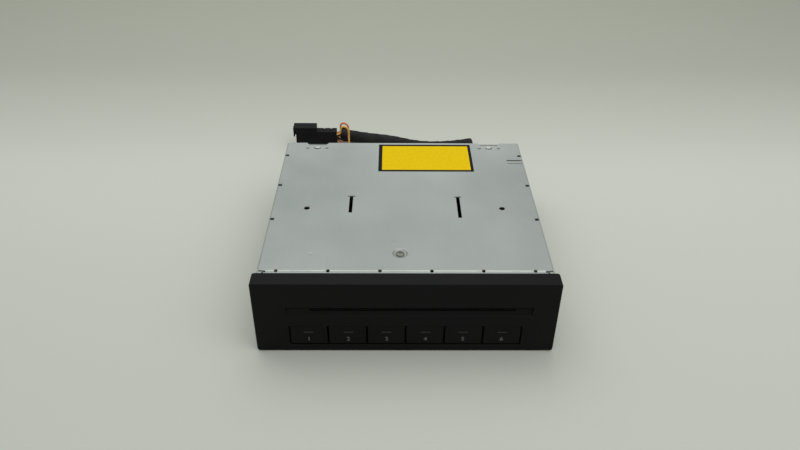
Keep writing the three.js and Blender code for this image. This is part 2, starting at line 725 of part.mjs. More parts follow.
// Four rubber dampers carry the frame above the floor.
function dampers() {
  const names = ['damper_front_left', 'damper_front_right', 'damper_rear_left', 'damper_rear_right'];
  const radius = 4.6;
  const waist = 3.2;
  const low = sheet + seat;
  const high = footZ[0] - seat;
  const middle = (low + high) / 2;
  const band = (high - low) / 5;
  const nub = studRadius;
  const nubTop = footZ[1];
  damperPlaces.forEach(([x, y], place) => {
    const body = turned([[0, low], [radius, low], [radius, low + band], [waist, middle],
      [radius, high - band],
      [radius, high], [nub, high], [nub, nubTop], [0, nubTop]], 8);
    piece(names[place], body.translate([x, y, 0]), rubber);
  });
}

// The sliders are flat plates outside the frame. Their inclined slots lift the stack, and a rack drives each.
const rackLine = liftShaftZ + pitchOf(rackPinionTeeth, rackModule);
const sliderFront = 3.2;
const sliderMiddle = 52;
const sliderBack = 120;
function rackTeeth(y0, y1, meshY) {
  const step = Math.PI * rackModule;
  const tip = rackLine - toothAddendumShare * rackModule;
  const root = rackLine + toothDedendumShare * rackModule;
  const first = Math.ceil((y0 - meshY) / step);
  const last = Math.floor((y1 - meshY) / step - 0.5);
  const points = [];
  for (let tooth = first; tooth <= last; tooth += 1) {
    const centre = meshY + (tooth + 0.5) * step;
    points.push([centre - step / 2, root], [centre - toothTipShare * step, tip],
      [centre + toothTipShare * step, tip]);
  }
  points.push([meshY + (last + 1) * step, root]);
  return points;
}
function sliders() {
  const root = rackLine + toothDedendumShare * rackModule;
  const rackBack = 5.2;
  const rackHigh = root + rackBack;
  const low = frameLow + frameSheet + seat;
  const high = frameHigh - seat;
  const stripTall = 5.5;
  const stripLow = high - stripTall;
  const stripFront = 36;
  const teeth = rackTeeth(sliderFront, liftShaftY + 3 * rackModule, liftShaftY);
  const shape = outline([[sliderFront, root], ...teeth, [sliderMiddle, root], [sliderMiddle, low],
    [sliderBack, low],
    [sliderBack, high], [stripFront, high], [stripFront, stripLow], [sliderMiddle, stripLow],
      [sliderMiddle, rackHigh],
    [sliderFront, rackHigh]]);
  for (const y of pinPlaces) {
    shape.holes.push(slot([y, pinHeight], [y - sliderTravel, pinHeight + stackLift], pinRadius + seat));
  }
  for (const y of studPlaces) {
    shape.holes.push(slot([y - sliderTravel, studHeight], [y, studHeight], studRadius + seat));
  }
  piece('slider_left', sideways(shape, [-sliderOutside, -sliderInside]), steel);
  piece('slider_right', sideways(shape, [sliderInside, sliderOutside]), steel);
}

// The carriers hold the six trays by their ears and ride on two pins each.
const carrierFront = 84;
const carrierBack = 112;
const trayRim = 1.5;
const trayRimRadius = discRadius + trayRim;
const carrierWide = 2.6;
const earGrip = 1.3;
const carrierInner = frameInside - runGap - carrierWide;
const earEnd = carrierInner + earGrip;
function carriers() {
  const low = 1.2;
  const high = topTray + trayThickness + overrun;
  const outer = frameInside - runGap;
  for (const [name, side] of [['carrier_left', -1], ['carrier_right', 1]]) {
    const order = (a, b) => [side * a, side * b].sort((p, q) => p - q);
    let body = block(order(carrierInner, outer), [carrierFront, carrierBack], [low, high]);
    for (let tray = 0; tray < trayCount; tray += 1) {
      const z = lowestTray + tray * trayPitch;
      body = body.subtract(block(order(carrierInner - overrun, earEnd + seat),
        [carrierFront - overrun, carrierBack + overrun],
        [z - seat, z + trayThickness + seat]));
    }
    for (const y of pinPlaces) {
      const reach = order(outer - overrun, sliderOutside - seat / 3);
      body = body.add(sideways(circle(y, pinHeight, pinRadius), reach));
    }
    piece(name, body, darkPlastic);
  }
}

// Each tray is a thin crescent that carries the disc's rim, with an ear in each carrier.
function discTrays() {
  const shelfWide = 4;
  const innerRadius = discRadius - shelfWide;
  const openLean = THREE.MathUtils.degToRad(22);
  const earInset = 3;
  const earFront = carrierFront + earInset;
  const earBack = carrierBack - earInset;
  for (let tray = 0; tray < trayCount; tray += 1) {
    const crescent = outline([
      ...arc(discX, discY, trayRimRadius, -openLean, 2 * quarter + openLean, 15),
      ...arc(discX, discY, innerRadius, 2 * quarter + openLean, -openLean, 11),
    ]);
    const z = lowestTray + tray * trayPitch;
    const height = [z, z + trayThickness];
    let body = upright(crescent, height);
    for (const side of [-1, 1]) {
      const rim = discX + side * discRadius;
      const across = [rim, side * earEnd].sort((a, b) => a - b);
      body = body.add(block(across, [earFront, earBack], height));
    }
    const stopHalf = 9;
    const stopDeep = 6;
    body = body.add(block([discX - stopHalf, discX + stopHalf],
      [discY + discRadius - stopDeep, discY + trayRimRadius - seat], height));
    piece(`disc_tray_${tray + 1}`, body, darkPlastic);
  }
}

// The cross shaft joins both racks. Its wheel is driven by the lift motor.
const liftWheelInset = 27.1;
const liftWheelWide = 2.4;
const liftWheelX = [liftWheelInset - frameInside, liftWheelInset - frameInside + liftWheelWide];
const liftMotorY = liftShaftY - pitchOf(liftWheelTeeth, fineModule) - pitchOf(motorPinionTeeth, fineModule);
function liftDrive() {
  let shaft = sideways(circle(liftShaftY, liftShaftZ, shaftRadius), [-sliderOutside, sliderOutside]);
  const moveTo = (body) => body.translate([0, liftShaftY, liftShaftZ]);
  const rackPinion = gearOutline(rackPinionTeeth, rackModule, quarter);
  shaft = shaft.add(moveTo(sideways(rackPinion, [-sliderOutside, -sliderInside])));
  shaft = shaft.add(moveTo(sideways(rackPinion, [sliderInside, sliderOutside])));
  piece('lift_shaft', shaft, steel);
  const wheel = gearOutline(liftWheelTeeth, fineModule, 2 * quarter);
  wheel.holes.push(circle(0, 0, shaftRadius + seat / 4));
  piece('lift_wheel', moveTo(sideways(wheel, liftWheelX)), whitePlastic);
  const pinion = gearOutline(motorPinionTeeth, fineModule, 2 * quarter / motorPinionTeeth);
  const stub = 0.7;
  const stubEnd = liftWheelX[0] - overrun;
  const motorPinion = sideways(pinion, liftWheelX).add(sideways(circle(0, 0, stub, 8),
    [stubEnd, liftWheelX[0] + stub]));
  piece('lift_motor_pinion', motorPinion.translate([0, liftMotorY, liftShaftZ]), brass);
  const motorLong = 24;
  piece('lift_motor', canMotor(stubEnd - seat, -1, liftMotorY, liftShaftZ, motorLong), steel);
}

// A flat-sided can motor along X. It ends at faceX, towards the pinion, and runs the other way.
function canMotor(faceX, direction, y, z, long) {
  const radius = 5.6;
  const flat = 4.7;
  const bossRadius = 2;
  const bossTall = 0.8;
  const lean = Math.asin(flat / radius);
  const steps = 5;
  const shape = outline([...arc(0, 0, radius, -lean, lean, steps),
    ...arc(0, 0, radius, 2 * quarter - lean, 2 * quarter + lean, steps)]);
  const can = [faceX + direction * bossTall, faceX + direction * long].sort((a, b) => a - b);
  const boss = [faceX, faceX + direction * bossTall * 2].sort((a, b) => a - b);
  const body = sideways(shape, can).add(sideways(circle(0, 0, bossRadius), boss));
  return body.translate([0, y, z]);
}

// Loading: two tapered rollers above the disc's path, driven by a motor through one wheel.
const rollerLarge = 4;
const rollerSmall = 3.4;
const feedY = 13;
const feedZ = loadHeight + discThickness / 2 + rollerLarge + seat / 3;
const feedShaftRadius = 1.25;
const feedWheelInset = 11.7;
const feedWheelWide = 2;
const feedWheelX = [feedWheelInset - frameInside, feedWheelInset - frameInside + feedWheelWide];
const earInsets = [8.3, 6.1];
const bracketEars = [
  [earInsets[0] - frameInside, earInsets[0] - frameInside + frameSheet],
  [frameInside - earInsets[1] - frameSheet, frameInside - earInsets[1]],
];
const bracketZ = [frameHigh - frameSheet / 2 - frameSheet, frameHigh - frameSheet / 2];
function feedDrive() {
  const lean = THREE.MathUtils.degToRad(20);
  const wheelShape = gearOutline(feedWheelTeeth, fineModule, lean);
  let shaft = sideways(circle(0, 0, feedShaftRadius),
    [bracketEars[0][0] - overrun, bracketEars[1][1] + overrun]);
  shaft = shaft.add(sideways(wheelShape, feedWheelX)).translate([0, feedY, feedZ]);
  piece('feed_shaft', shaft, whitePlastic);
  const inner = 8;
  const rollerSpare = 13;
  const outer = bracketEars[1][0] - discX - rollerSpare;
  const bore = feedShaftRadius + seat / 4;
  const rollers = [['feed_roller_left', -1], ['feed_roller_right', 1]];
  for (const [name, side] of rollers) {
    const profile = [[bore, inner], [rollerSmall, inner], [rollerLarge, outer], [bore, outer],
      [bore, inner]];
    const body = turned(profile, 14).rotate([0, side * rightAngle, 0]).translate([discX, feedY, feedZ]);
    piece(name, body, rubber);
  }
  const reach = pitchOf(feedWheelTeeth, fineModule) + pitchOf(motorPinionTeeth, fineModule);
  const motorY = feedY + reach * Math.cos(lean);
  const motorZ = feedZ + reach * Math.sin(lean);
  const pinion = gearOutline(motorPinionTeeth, fineModule,
    lean + 2 * quarter + 2 * quarter / motorPinionTeeth);
  const stub = 0.7;
  const stubEnd = feedWheelX[1] + overrun;
  const motorPinion = sideways(pinion, feedWheelX).add(sideways(circle(0, 0, stub, 8),
    [feedWheelX[1] - stub, stubEnd]));
  piece('load_motor_pinion', motorPinion.translate([0, motorY, motorZ]), brass);
  const motorLong = 22;
  piece('load_motor', canMotor(stubEnd + seat, 1, motorY, motorZ, motorLong), steel);
}

// The feed bracket carries the roller shaft under the cover, and takes the cover's screw.
function feedBracket() {
  const stripFront = frameFront + frameSheet + seat;
  const stripBack = 30;
  const half = frameInside - seat;
  const strip = roundedRectangle([-half, half], [stripFront, stripBack], frameSheet);
  strip.holes.push(circle(coverScrew.x, coverScrew.y, coverScrew.shank + seat / 2));
  const windowRound = 1;
  const motorRoom = 29;
  const rimFront = stripFront + frameSheet;
  const rimBack = stripBack - frameSheet;
  const motorWindow = [bracketEars[0][1] + frameSheet, bracketEars[0][1] + motorRoom];
  const openWindow = [0.14 * frameInside, 0.8 * frameInside];
  for (const ends of [motorWindow, openWindow]) {
    strip.holes.push(roundedRectangle(ends, [rimFront, rimBack], windowRound));
  }
  let body = upright(strip, bracketZ);
  const earHalf = 4;
  const earBelow = 3.4;
  const earLow = feedZ - earBelow;
  for (const across of bracketEars) {
    const ear = roundedRectangle([feedY - earHalf, feedY + earHalf], [earLow, bracketZ[1]], frameSheet);
    ear.holes.push(circle(feedY, feedZ, feedShaftRadius + seat / 2));
    body = body.add(sideways(ear, across));
  }
  piece('feed_bracket', body, steel);
}

// The lower guide is a plastic shelf under the disc's path, with a raised rail at each side.
function discGuide() {
  const below = 2.4;
  const low = loadHeight - below;
  const thickness = 1.2;
  const railTall = 0.5;
  const railWide = 4;
  const front = 4;
  const back = 24;
  const half = frameInside - seat;
  const wheelRoom = pitchOf(feedWheelTeeth, fineModule) + overrun + seat;
  const shelf = roundedRectangle([-half, half], [front, back], thickness);
  shelf.holes.push(roundedRectangle([feedWheelX[0] - seat, feedWheelX[1] + seat],
    [feedY - wheelRoom, feedY + wheelRoom], seat));
  let body = upright(shelf, [low, low + thickness]);
  for (const side of [-1, 1]) {
    const rail = [discX + side * discRadius, discX + side * (discRadius + railWide)].sort((a, b) => a - b);
    body = body.add(block(rail, [front, back], [low + thickness / 2, low + thickness + railTall]));
  }
  const ribs = 5;
  const ribPitchShare = 0.08;
  const ribPitch = ribPitchShare * discDiameter;
  for (let rib = 0; rib < ribs; rib += 1) {
    const x = discX + (rib - (ribs - 1) / 2) * ribPitch;
    body = body.add(block([x - thickness / 2, x + thickness / 2], [front, back],
      [low + thickness / 2, low + thickness + railTall / 2]));
  }
  piece('disc_guide', body, darkPlastic);
}

// The play arm: a plate that swings in under the disc, with the turntable at its tip and the pickup on rods.
// Along the arm, u is the distance from its pivot. Across it, v is positive towards the back when parked.
const along = (u) => pivotX - u;
const across = (v) => pivotY + v;
const armBox = ([u0, u1], [v0, v1], z) => block([along(u1), along(u0)], [across(v0), across(v1)], z);
const armWheelZ = [shelfZ[1] + seat, armTop - armPlate];
const rodPlaces = [-10.5, 6.5];
const rodRadius = 1.2;
const rodZ = rodShare * caseHeight;
const rodStart = 27;
const rodSpare = 11.8;
const rodEnds = [rodStart, armLength - rodSpare];
const spindleRadius = 12;
const spindleZ = [armTop + seat, sledGearShares[0] * caseHeight - seat];
const sledRest = armLength - innermostTrack;
const sledHalf = 8.5;
const sledPinionSpare = 47.9;
const sledPinionU = armLength - sledPinionSpare;
const sledRackV = 9.5;
const sledPinionV = sledRackV + pitchOf(motorPinionTeeth, fineModule);
const sledGearZ = sledGearShares.map((share) => share * caseHeight);
function armDeck() {
  const frontV = -13.5;
  const backV = 17;
  const tailRadius = 11;
  const tipRadius = 14.5;
  const plate = outline([
    ...arc(along(0), across(0), tailRadius, -quarter, quarter, 8),
    [along(tailRadius), across(backV)],
    [along(sledPinionU + tailRadius), across(backV)],
    ...arc(along(armLength), across(0), tipRadius, quarter, 3 * quarter, 10),
    [along(tailRadius), across(frontV)],
  ]);
  const openingV = [-7, 4];
  const openingRound = 2;
  plate.holes.push(roundedRectangle([along(sledRest + sledHalf / 2),
    along(sledRest - sledTravel - sledHalf / 2)],
    openingV.map(across), openingRound));
  let body = upright(plate, [armTop - armPlate, armTop]);
  const sectorTeeth = 9;
  const sectorStart = swingLean - 4 * 2 * quarter / armWheelTeeth;
  const sector = upright(gearOutline(armWheelTeeth, fineModule, sectorStart, sectorTeeth),
    [armWheelZ[0], armTop - armPlate / 2]);
  body = body.add(sector.translate([pivotX, pivotY, 0]));
  const hubRadius = 4.6;
  body = body.add(upright(circle(pivotX, pivotY, hubRadius), [armTop - armPlate, pivotPinTop - overrun]));
  body = body.subtract(upright(circle(pivotX, pivotY, pivotPinRadius + seat / 2),
    [shelfZ[0], pivotPinTop + overrun]));
  const postHalf = 2;
  const postOver = 0.8;
  const postTop = rodZ + rodRadius + postOver;
  const postLong = 1.8;
  for (const v of rodPlaces) {
    for (const u of [rodEnds[0], rodEnds[1] - postLong]) {
      body = body.add(armBox([u, u + postLong], [v - postHalf, v + postHalf],
        [armTop - armPlate / 2, postTop]));
    }
    const bore = sideways(circle(across(v), rodZ, rodRadius + seat / 4),
      [along(rodEnds[1]) - overrun, along(rodEnds[0]) + overrun]);
    body = body.subtract(bore);
  }
  const rib = 1.2;
  body = body.add(armBox([tailRadius, armLength - tailRadius], [frontV, frontV + rib],
    [armTop - armPlate, postTop - postOver]));
  piece('arm_deck', body, steel);
}

function armDrives() {
  const swingPinionZ = armWheelZ;
  const toothLean = swingLean + 2 * quarter + 2 * quarter / swingPinionTeeth;
  const swingGear = gearOutline(swingPinionTeeth, fineModule, toothLean);
  const stub = 1;
  const motorTop = shelfZ[0] - seat;
  let swingPinion = upright(swingGear, [swingPinionZ[0], swingPinionZ[1] - seat]);
  swingPinion = swingPinion.add(upright(circle(0, 0, stub), [motorTop + seat, swingPinionZ[0] + stub / 2]));
  piece('swing_pinion', swingPinion.translate([swingX, swingY, 0]), brass);
  const motorLow = 3;
  const motorRadius = 4.4;
  const swingMotor = turned([[0, motorLow], [motorRadius - stub / 2, motorLow],
    [motorRadius, motorLow + stub / 2],
    [motorRadius, motorTop], [0, motorTop]], 12);
  piece('swing_motor', swingMotor.translate([swingX, swingY, 0]), steel);
  const sledMotorRadius = 4;
  const sledMotorTop = sledGearZ[0] - seat;
  const sledMotor = turned([[0, armTop + seat], [sledMotorRadius, armTop + seat],
    [sledMotorRadius, sledMotorTop - stub / 2], [sledMotorRadius - stub / 2, sledMotorTop],
      [0, sledMotorTop]], 12);
  piece('sled_motor', sledMotor.translate([along(sledPinionU), across(sledPinionV), 0]), steel);
  const sledPinion = gearOutline(motorPinionTeeth, fineModule, -quarter);
  piece('sled_pinion', upright(sledPinion, sledGearZ).translate([along(sledPinionU), across(sledPinionV),
    0]), brass);
}

function guideRods() {
  const names = ['guide_rod_front', 'guide_rod_rear'];
  rodPlaces.forEach((v, place) => {
    const rod = sideways(circle(across(v), rodZ, rodRadius), [along(rodEnds[1]), along(rodEnds[0])]);
    piece(names[place], rod, steel);
  });
}

function spindle() {
  const chamfer = 0.8;
  const [low, high] = spindleZ;
  const can = turned([[0, low], [spindleRadius, low], [spindleRadius, high - chamfer],
    [spindleRadius - chamfer, high],
    [0, high]], 20);
  piece('spindle_motor', can.translate([along(armLength), across(0), 0]), steel);
  const tableRadius = 11;
  const rimTall = 1.2;
  const hubRadius = 7.3;
  const hubTop = tableShare * caseHeight;
  const base = high + seat;
  const noseRadius = 3;
  const rimTop = base + rimTall;
  const hubEdge = rimTop + rimTall;
  const table = turned([[0, base], [hubRadius, base], [tableRadius, base + rimTall / 2],
    [tableRadius, rimTop], [hubRadius, rimTop], [hubRadius, hubEdge], [noseRadius, hubTop], [0, hubTop]]);
  const balls = 3;
  const ballRadius = 1;
  const ballReach = hubRadius - ballRadius / 2;
  let chucked = table;
  for (let number = 0; number < balls; number += 1) {
    const lean = quarter + number * 4 * quarter / balls;
    const ball = solid(new THREE.SphereGeometry(ballRadius, 6, 4));
    chucked = chucked.add(ball.translate([ballReach * Math.cos(lean), ballReach * Math.sin(lean),
      hubEdge - ballRadius / 2]));
  }
  piece('turntable', chucked.translate([along(armLength), across(0), 0]), darkPlastic);
}

// The pickup sled runs on both rods. A rack along its side meshes with the sled motor's pinion.
function pickupSled() {
  const low = armTop + seat;
  const high = sledGearZ[0] - seat;
  const frontV = -13;
  const backV = 8.2;
  const rodRoom = rodRadius + seat / 2;
  const [frontRod, rearRod] = rodPlaces;
  let body = armBox([sledRest - sledHalf, sledRest + sledHalf], [frontV + overrun, backV], [low, high]);
  const past = [along(sledRest + sledHalf) - overrun, along(sledRest - sledHalf) + overrun];
  body = body.subtract(sideways(circle(across(frontRod), rodZ, rodRoom), past));
  body = body.subtract(block(past, [across(rearRod) - rodRoom, across(backV) + overrun],
    [rodZ - rodRoom, rodZ + rodRoom]));
  const lensRadius = 4.2;
  const lensTop = lensShare * caseHeight;
  const lensShares = [0.8, 0.5, 0.4];
  const ring = turned([[0, high - overrun], [lensRadius, high - overrun], [lensRadius, lensTop - overrun],
    ...lensShares.map((share, place) => [share * lensRadius, lensTop - (place > 1 ? overrun / 2 : 0)]),
    [0, lensTop - overrun / 4]]);
  body = body.add(ring.translate([along(sledRest), across(0), 0]));
  const step = Math.PI * fineModule;
  const tip = sledRackV + toothAddendumShare * fineModule;
  const root = sledRackV - toothDedendumShare * fineModule;
  const rackDeep = 1.6;
  const rackBack = root - rackDeep;
  const rackReach = [27, 13];
  const outerU = sledRest - rackReach[0];
  const innerU = sledRest + rackReach[1];
  const points = [[along(innerU), across(rackBack)], [along(outerU), across(rackBack)],
    [along(outerU), across(root)]];
  const mesh = along(sledPinionU);
  const first = Math.floor((along(outerU) - mesh) / step) - 1;
  const last = Math.ceil((along(innerU) - mesh) / step);
  for (let tooth = first; tooth >= last; tooth -= 1) {
    const x = mesh + (tooth + 0.5) * step;
    points.push([x + step / 2, across(root)], [x + toothTipShare * step, across(tip)],
      [x - toothTipShare * step, across(tip)]);
  }
  points.push([mesh + last * step, across(root)], [along(innerU), across(root)]);
  body = body.add(upright(outline(points), sledGearZ));
  body = body.add(armBox([sledRest - sledHalf / 2, sledRest + sledHalf / 2],
    [rackBack - 2 * rackDeep, rackBack + rackDeep / 2],
    [high - overrun, sledGearZ[1]]));
  piece('pickup_sled', body, darkPlastic);
}

// The main board lies in front of the stack, on posts of the floor.
function mainBoard() {
  const leftInset = 32.1;
  const rightInset = 18.1;
  const left = leftInset - frameInside;
  const right = frameInside - rightInset;
  const onBoard = (share) => left + share * (right - left);
  const front = 5;
  const back = 30;
  const low = 3.2;
  const thickness = 1.6;
  const high = low + thickness;
  let body = block([left, right], [front, back], [low, high]);
  const sink = thickness / 2;
  const chips = [[0.15, 18, 12, 1.6], [0.39, 17, 9, 1.4], [0.61, 19, 7, 2.2]];
  for (const [share, y, side, tall] of chips) {
    const x = onBoard(share);
    body = body.add(block([x - side / 2, x + side / 2], [y - side / 2, y + side / 2],
      [high - sink, high + tall]));
  }
  const canRadius = 3.2;
  const canTall = 7;
  const cans = [[0.29, 24], [0.73, 12], [0.81, 12]];
  for (const [share, y] of cans) {
    const can = turned([[0, high - sink], [canRadius, high - sink], [canRadius, high + canTall - sink],
      [canRadius - sink, high + canTall], [0, high + canTall]], 8);
    body = body.add(can.translate([onBoard(share), y, 0]));
  }
  const headerTall = 5;
  const headerShares = [0.03, 0.24];
  body = body.add(block(headerShares.map(onBoard), [front + thickness, front + 3 * thickness],
    [high - sink, high + headerTall]));
  for (const x of [left + thickness * 2, right - thickness * 2]) {
    body = body.add(upright(circle(x, (front + back) / 2, thickness), [sheet + seat, low + sink]));
  }
  piece('main_board', body, board);
}

// The rear socket opens backwards through the rear panel. Ten contacts stand in it.
const socketWall = 1.5;
const socketDeep = 12.2;
const socketFloor = caseDepth - seat - socketDeep;
function rearSocket() {
  const socketBase = 4;
  const front = socketFloor - socketBase;
  const back = caseDepth - seat;
  const wide = [socketX - socketWidth / 2, socketX + socketWidth / 2];
  const tall = [socketZ - socketTall / 2, socketZ + socketTall / 2];
  let body = block(wide, [front, back], tall);
  body = body.subtract(block([wide[0] + socketWall, wide[1] - socketWall], [socketFloor, back + overrun],
    [tall[0] + socketWall, tall[1] - socketWall]));
  const contact = 0.8;
  const contactLong = 4;
  const contactPitch = 3;
  const rowRise = 2.4;
  for (const column of [-2, -1, 0, 1, 2]) {
    for (const row of [-1, 1]) {
      const x = socketX + column * contactPitch;
      const z = socketZ + row * rowRise;
      body = body.add(block([x - contact / 2, x + contact / 2],
        [socketFloor - contact, socketFloor + contactLong],
        [z - contact / 2, z + contact / 2]));
    }
  }
  piece('rear_socket', body, whitePlastic);
}

// The loom: its plug in the rear socket, a taped sleeve on the table behind the unit, three loose wires
// and a connector. The points of each route are chosen by hand, from the socket's middle on the case's back.
const plugReach = 14.5;
const plugBack = caseDepth + plugReach;
function cablePlug() {
  const contactRoom = 4.6;
  const front = socketFloor + contactRoom;
  const room = socketWall + seat;
  const wide = [socketX - socketWidth / 2 + room, socketX + socketWidth / 2 - room];
  const tall = [socketZ - socketTall / 2 + room, socketZ + socketTall / 2 - room];
  const shoulder = caseDepth + seat * 2;
  const shoulderOut = 1;
  const throatLong = 4;
  const bodyBack = plugBack - throatLong;
  let body = block(wide, [front, bodyBack - overrun], tall);
  body = body.add(block([wide[0] - shoulderOut, wide[1] + shoulderOut], [shoulder, bodyBack],
    [tall[0] - shoulderOut, tall[1] + shoulderOut]));
  const latchHalf = 3;
  body = body.add(block([socketX - latchHalf, socketX + latchHalf],
    [shoulder + shoulderOut, bodyBack - shoulderOut],
    [tall[1], tall[1] + shoulderOut * 2]));
  const throat = leadDiameter / 2;
  body = body.add(turnedAlongY([[0, bodyBack - overrun], [throat + shoulderOut, bodyBack - overrun],
    [throat, plugBack],
    [0, plugBack]]).translate([socketX, 0, socketZ]));
  piece('cable_plug', body, blackPlastic);
}

// A tube along a smooth curve through the points of a route.
function tube(route, diameter, sides, steps) {
  const points = route.map(([x, y, z]) => new THREE.Vector3(socketX + x, caseDepth + y, z));
  const path = new THREE.CatmullRomCurve3(points, false, 'centripetal');
  const ring = [];
  for (let side = 0; side < sides; side += 1) {
    const turn = 4 * quarter * side / sides;
    ring.push([diameter / 2 * Math.cos(turn), diameter / 2 * Math.sin(turn)]);
  }
  return solid(new THREE.ExtrudeGeometry(outline(ring), { extrudePath: path, steps, bevelEnabled: false }));
}
const sleeveRoute = [
  [7.3, 80.8, 5.55], [0, 78.7, 5.55], [-9, 76.4, 5.55], [-17.5, 75.1, 5.55], [-26, 74.5, 5.55],
  [-34, 74.9, 5.55], [-42, 76.4, 5.55], [-50, 79.1, 5.55], [-57, 82.1, 5.55], [-65, 85.2, 5.55],
  [-73, 87.4, 5.55], [-81, 89.1, 5.55], [-89, 91.2, 5.55], [-97.8, 94, 5.55], [-105, 96.6, 5.55],
  [-108.9, 97.9, 5.55],
];
const leadRoute = [
  [0, 14.8, 20], [0, 15.9, 20], [0.1, 20.5, 19.8], [0.7, 25.5, 18.4], [2, 31, 15.6], [4, 36.5, 11.5],
  [6.5, 42.5, 7.6], [9.4, 48.5, 4.6], [12.6, 54.5, 3], [15.4, 60.1, 2.6], [17.2, 65.1, 2.6],
  [17.9, 69.9, 2.6], [17.2, 74.5, 2.6], [14.9, 78.1, 2.6], [11.4, 80.4, 2.7], [7.6, 81.2, 2.8],
  [6, 81.25, 2.9],
];
const orangeRoute = [
  [-112.7, 83.5, 14.4], [-111, 83.5, 14.9], [-109.8, 83.3, 16.1], [-109.3, 83, 17.8],
  [-109.3, 82.6, 19.7], [-109.3, 82.3, 21.6], [-108.3, 81.9, 24.3], [-105.75, 80.8, 25.45],
  [-103.2, 79.7, 24.3], [-102.2, 79.3, 21.6], [-102.2, 78.8, 17.6], [-102.1, 78.4, 13],
  [-102.1, 78.2, 7.1], [-102.6, 78.8, 4.35], [-103.7, 80.6, 2.5], [-105.5, 82.8, 2.1], [-108.3, 86, 2.9],
  [-111.1, 89, 3.5], [-113.8, 91.9, 4.3], [-114.9, 93.4, 4.8], [-115.2, 94.95, 5.3], [-114.5, 97.4, 6],
  [-112.7, 99.2, 6.7], [-110.3, 99.85, 7], [-108.75, 99.6, 7],
];
const yellowRoute = [
  [-112.7, 80.9, 14.4], [-111, 80.9, 14.9], [-109.8, 80.7, 16.1], [-109.2, 80.3, 17.8],
  [-109.2, 79.7, 19.4], [-108.1, 79.3, 22.2], [-105.5, 78.3, 23.35], [-102.9, 77.3, 22.2],
  [-101.8, 76.9, 19.4], [-101.8, 76.4, 15], [-101.8, 76.1, 10.5], [-101.8, 76, 6.1], [-102.2, 76.5, 3.6],
  [-103.35, 78, 1.8], [-104.9, 79.9, 1.1], [-107.8, 83.7, 1.1], [-110.7, 87.4, 1.1], [-113.6, 91.1, 1.2],
  [-114.4, 93.3, 1.7], [-113.4, 95.9, 2.6], [-111.7, 96.8, 3.4], [-110.8, 96.9, 3.7],
  [-109.7, 96.7, 3.9],
];
const blackRoute = [
  [-112.7, 85.9, 10.2], [-111, 85.9, 10.7], [-109.8, 85.8, 11.9], [-109.3, 85.6, 13.6],
  [-109.3, 85.3, 15.4], [-108.3, 85.1, 17.8], [-105.95, 84.8, 18.8], [-103.6, 84.6, 17.8],
  [-102.6, 84.6, 15.4], [-102.5, 84.7, 12.4], [-102.6, 84.8, 9.4], [-103.1, 85.1, 7.15],
  [-104.5, 86, 5.6], [-106.4, 87.2, 5.1], [-109.5, 88.7, 5.3], [-112.6, 90.3, 5.9], [-113.9, 91.6, 6.3],
  [-114.3, 93.3, 6.7], [-113.8, 95, 7], [-112.6, 96.25, 7.2], [-110.9, 96.7, 7.4], [-109.8, 96.5, 7.4],
];
function cables() {
  const lead = tube(leadRoute, leadDiameter, 8, 14);
  piece('cable_sleeve', lead.add(tube(sleeveRoute, sleeveDiameter, 10, 13)), tape);
  piece('wire_orange', tube(orangeRoute, wireDiameter, 8, 15), orange);
  piece('wire_yellow', tube(yellowRoute, wireDiameter, 8, 15), yellow);
  piece('wire_black', tube(blackRoute, wireDiameter, 8, 11), tape);
}

// The connector at the loom's end: a long housing with a raised cover at its left.
function farConnector() {
  const away = 113;
  const behind = 87.5;
  const right = socketX - away;
  const long = 36;
  const back = caseDepth + behind;
  const deep = 8;
  const tall = 17.5;
  const coverLong = 18.3;
  const coverTall = 4.3;
  const coverOut = 2;
  const wall = 1.2;
  const cavityDeep = 9;
  const left = right - long;
  let body = block([left, right], [back - deep, back], [seat, tall]);
  body = body.add(block([left - coverOut, left + coverLong],
    [back - deep - coverOut / 2, back + coverOut / 2],
    [tall - coverTall / 2, tall + coverTall]));
  body = body.add(block([left - coverOut, left - coverOut + wall],
    [back - deep - coverOut / 2, back + coverOut / 2],
    [tall - coverTall, tall]));
  body = body.subtract(block([left - overrun - coverOut, left + cavityDeep],
    [back - deep + wall, back - wall],
    [seat + wall, tall - coverTall]));
  const ribPitch = 6;
  for (const step of [1, 2]) {
    const x = left + coverLong + step * ribPitch;
    body = body.subtract(block([x, x + wall], [back - deep - overrun, back + overrun],
      [tall - wall / 2, tall + overrun]));
  }
  piece('far_connector', body, blackPlastic);
}

fascia();
keys();
keyBoard();
slotSeals();
chassisTray();
topCover();
rearPanel();
screws();
mechFrame();
dampers();
sliders();
carriers();
discTrays();
liftDrive();
feedDrive();
feedBracket();
discGuide();
armDeck();
armDrives();
guideRods();
spindle();
pickupSled();
mainBoard();
rearSocket();
cablePlug();
cables();
farConnector();

part.position.y = (fasciaDepth - caseDepth) / 2;
export default part;
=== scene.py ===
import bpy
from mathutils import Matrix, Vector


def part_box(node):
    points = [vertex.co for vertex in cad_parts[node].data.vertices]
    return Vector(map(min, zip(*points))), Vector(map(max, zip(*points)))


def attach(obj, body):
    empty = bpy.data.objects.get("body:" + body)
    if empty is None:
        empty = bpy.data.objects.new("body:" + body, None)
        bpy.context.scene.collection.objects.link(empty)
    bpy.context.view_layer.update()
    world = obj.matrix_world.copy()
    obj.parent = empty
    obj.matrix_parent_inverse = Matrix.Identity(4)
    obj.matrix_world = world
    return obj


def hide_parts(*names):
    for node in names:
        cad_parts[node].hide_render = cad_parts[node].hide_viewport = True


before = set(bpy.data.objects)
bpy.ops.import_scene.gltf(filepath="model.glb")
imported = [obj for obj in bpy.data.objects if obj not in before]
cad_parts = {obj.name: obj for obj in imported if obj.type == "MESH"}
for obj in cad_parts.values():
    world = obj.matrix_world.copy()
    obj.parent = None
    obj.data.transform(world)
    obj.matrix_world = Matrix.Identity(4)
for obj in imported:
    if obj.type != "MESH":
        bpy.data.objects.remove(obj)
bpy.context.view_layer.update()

import math
import bmesh
import bpy
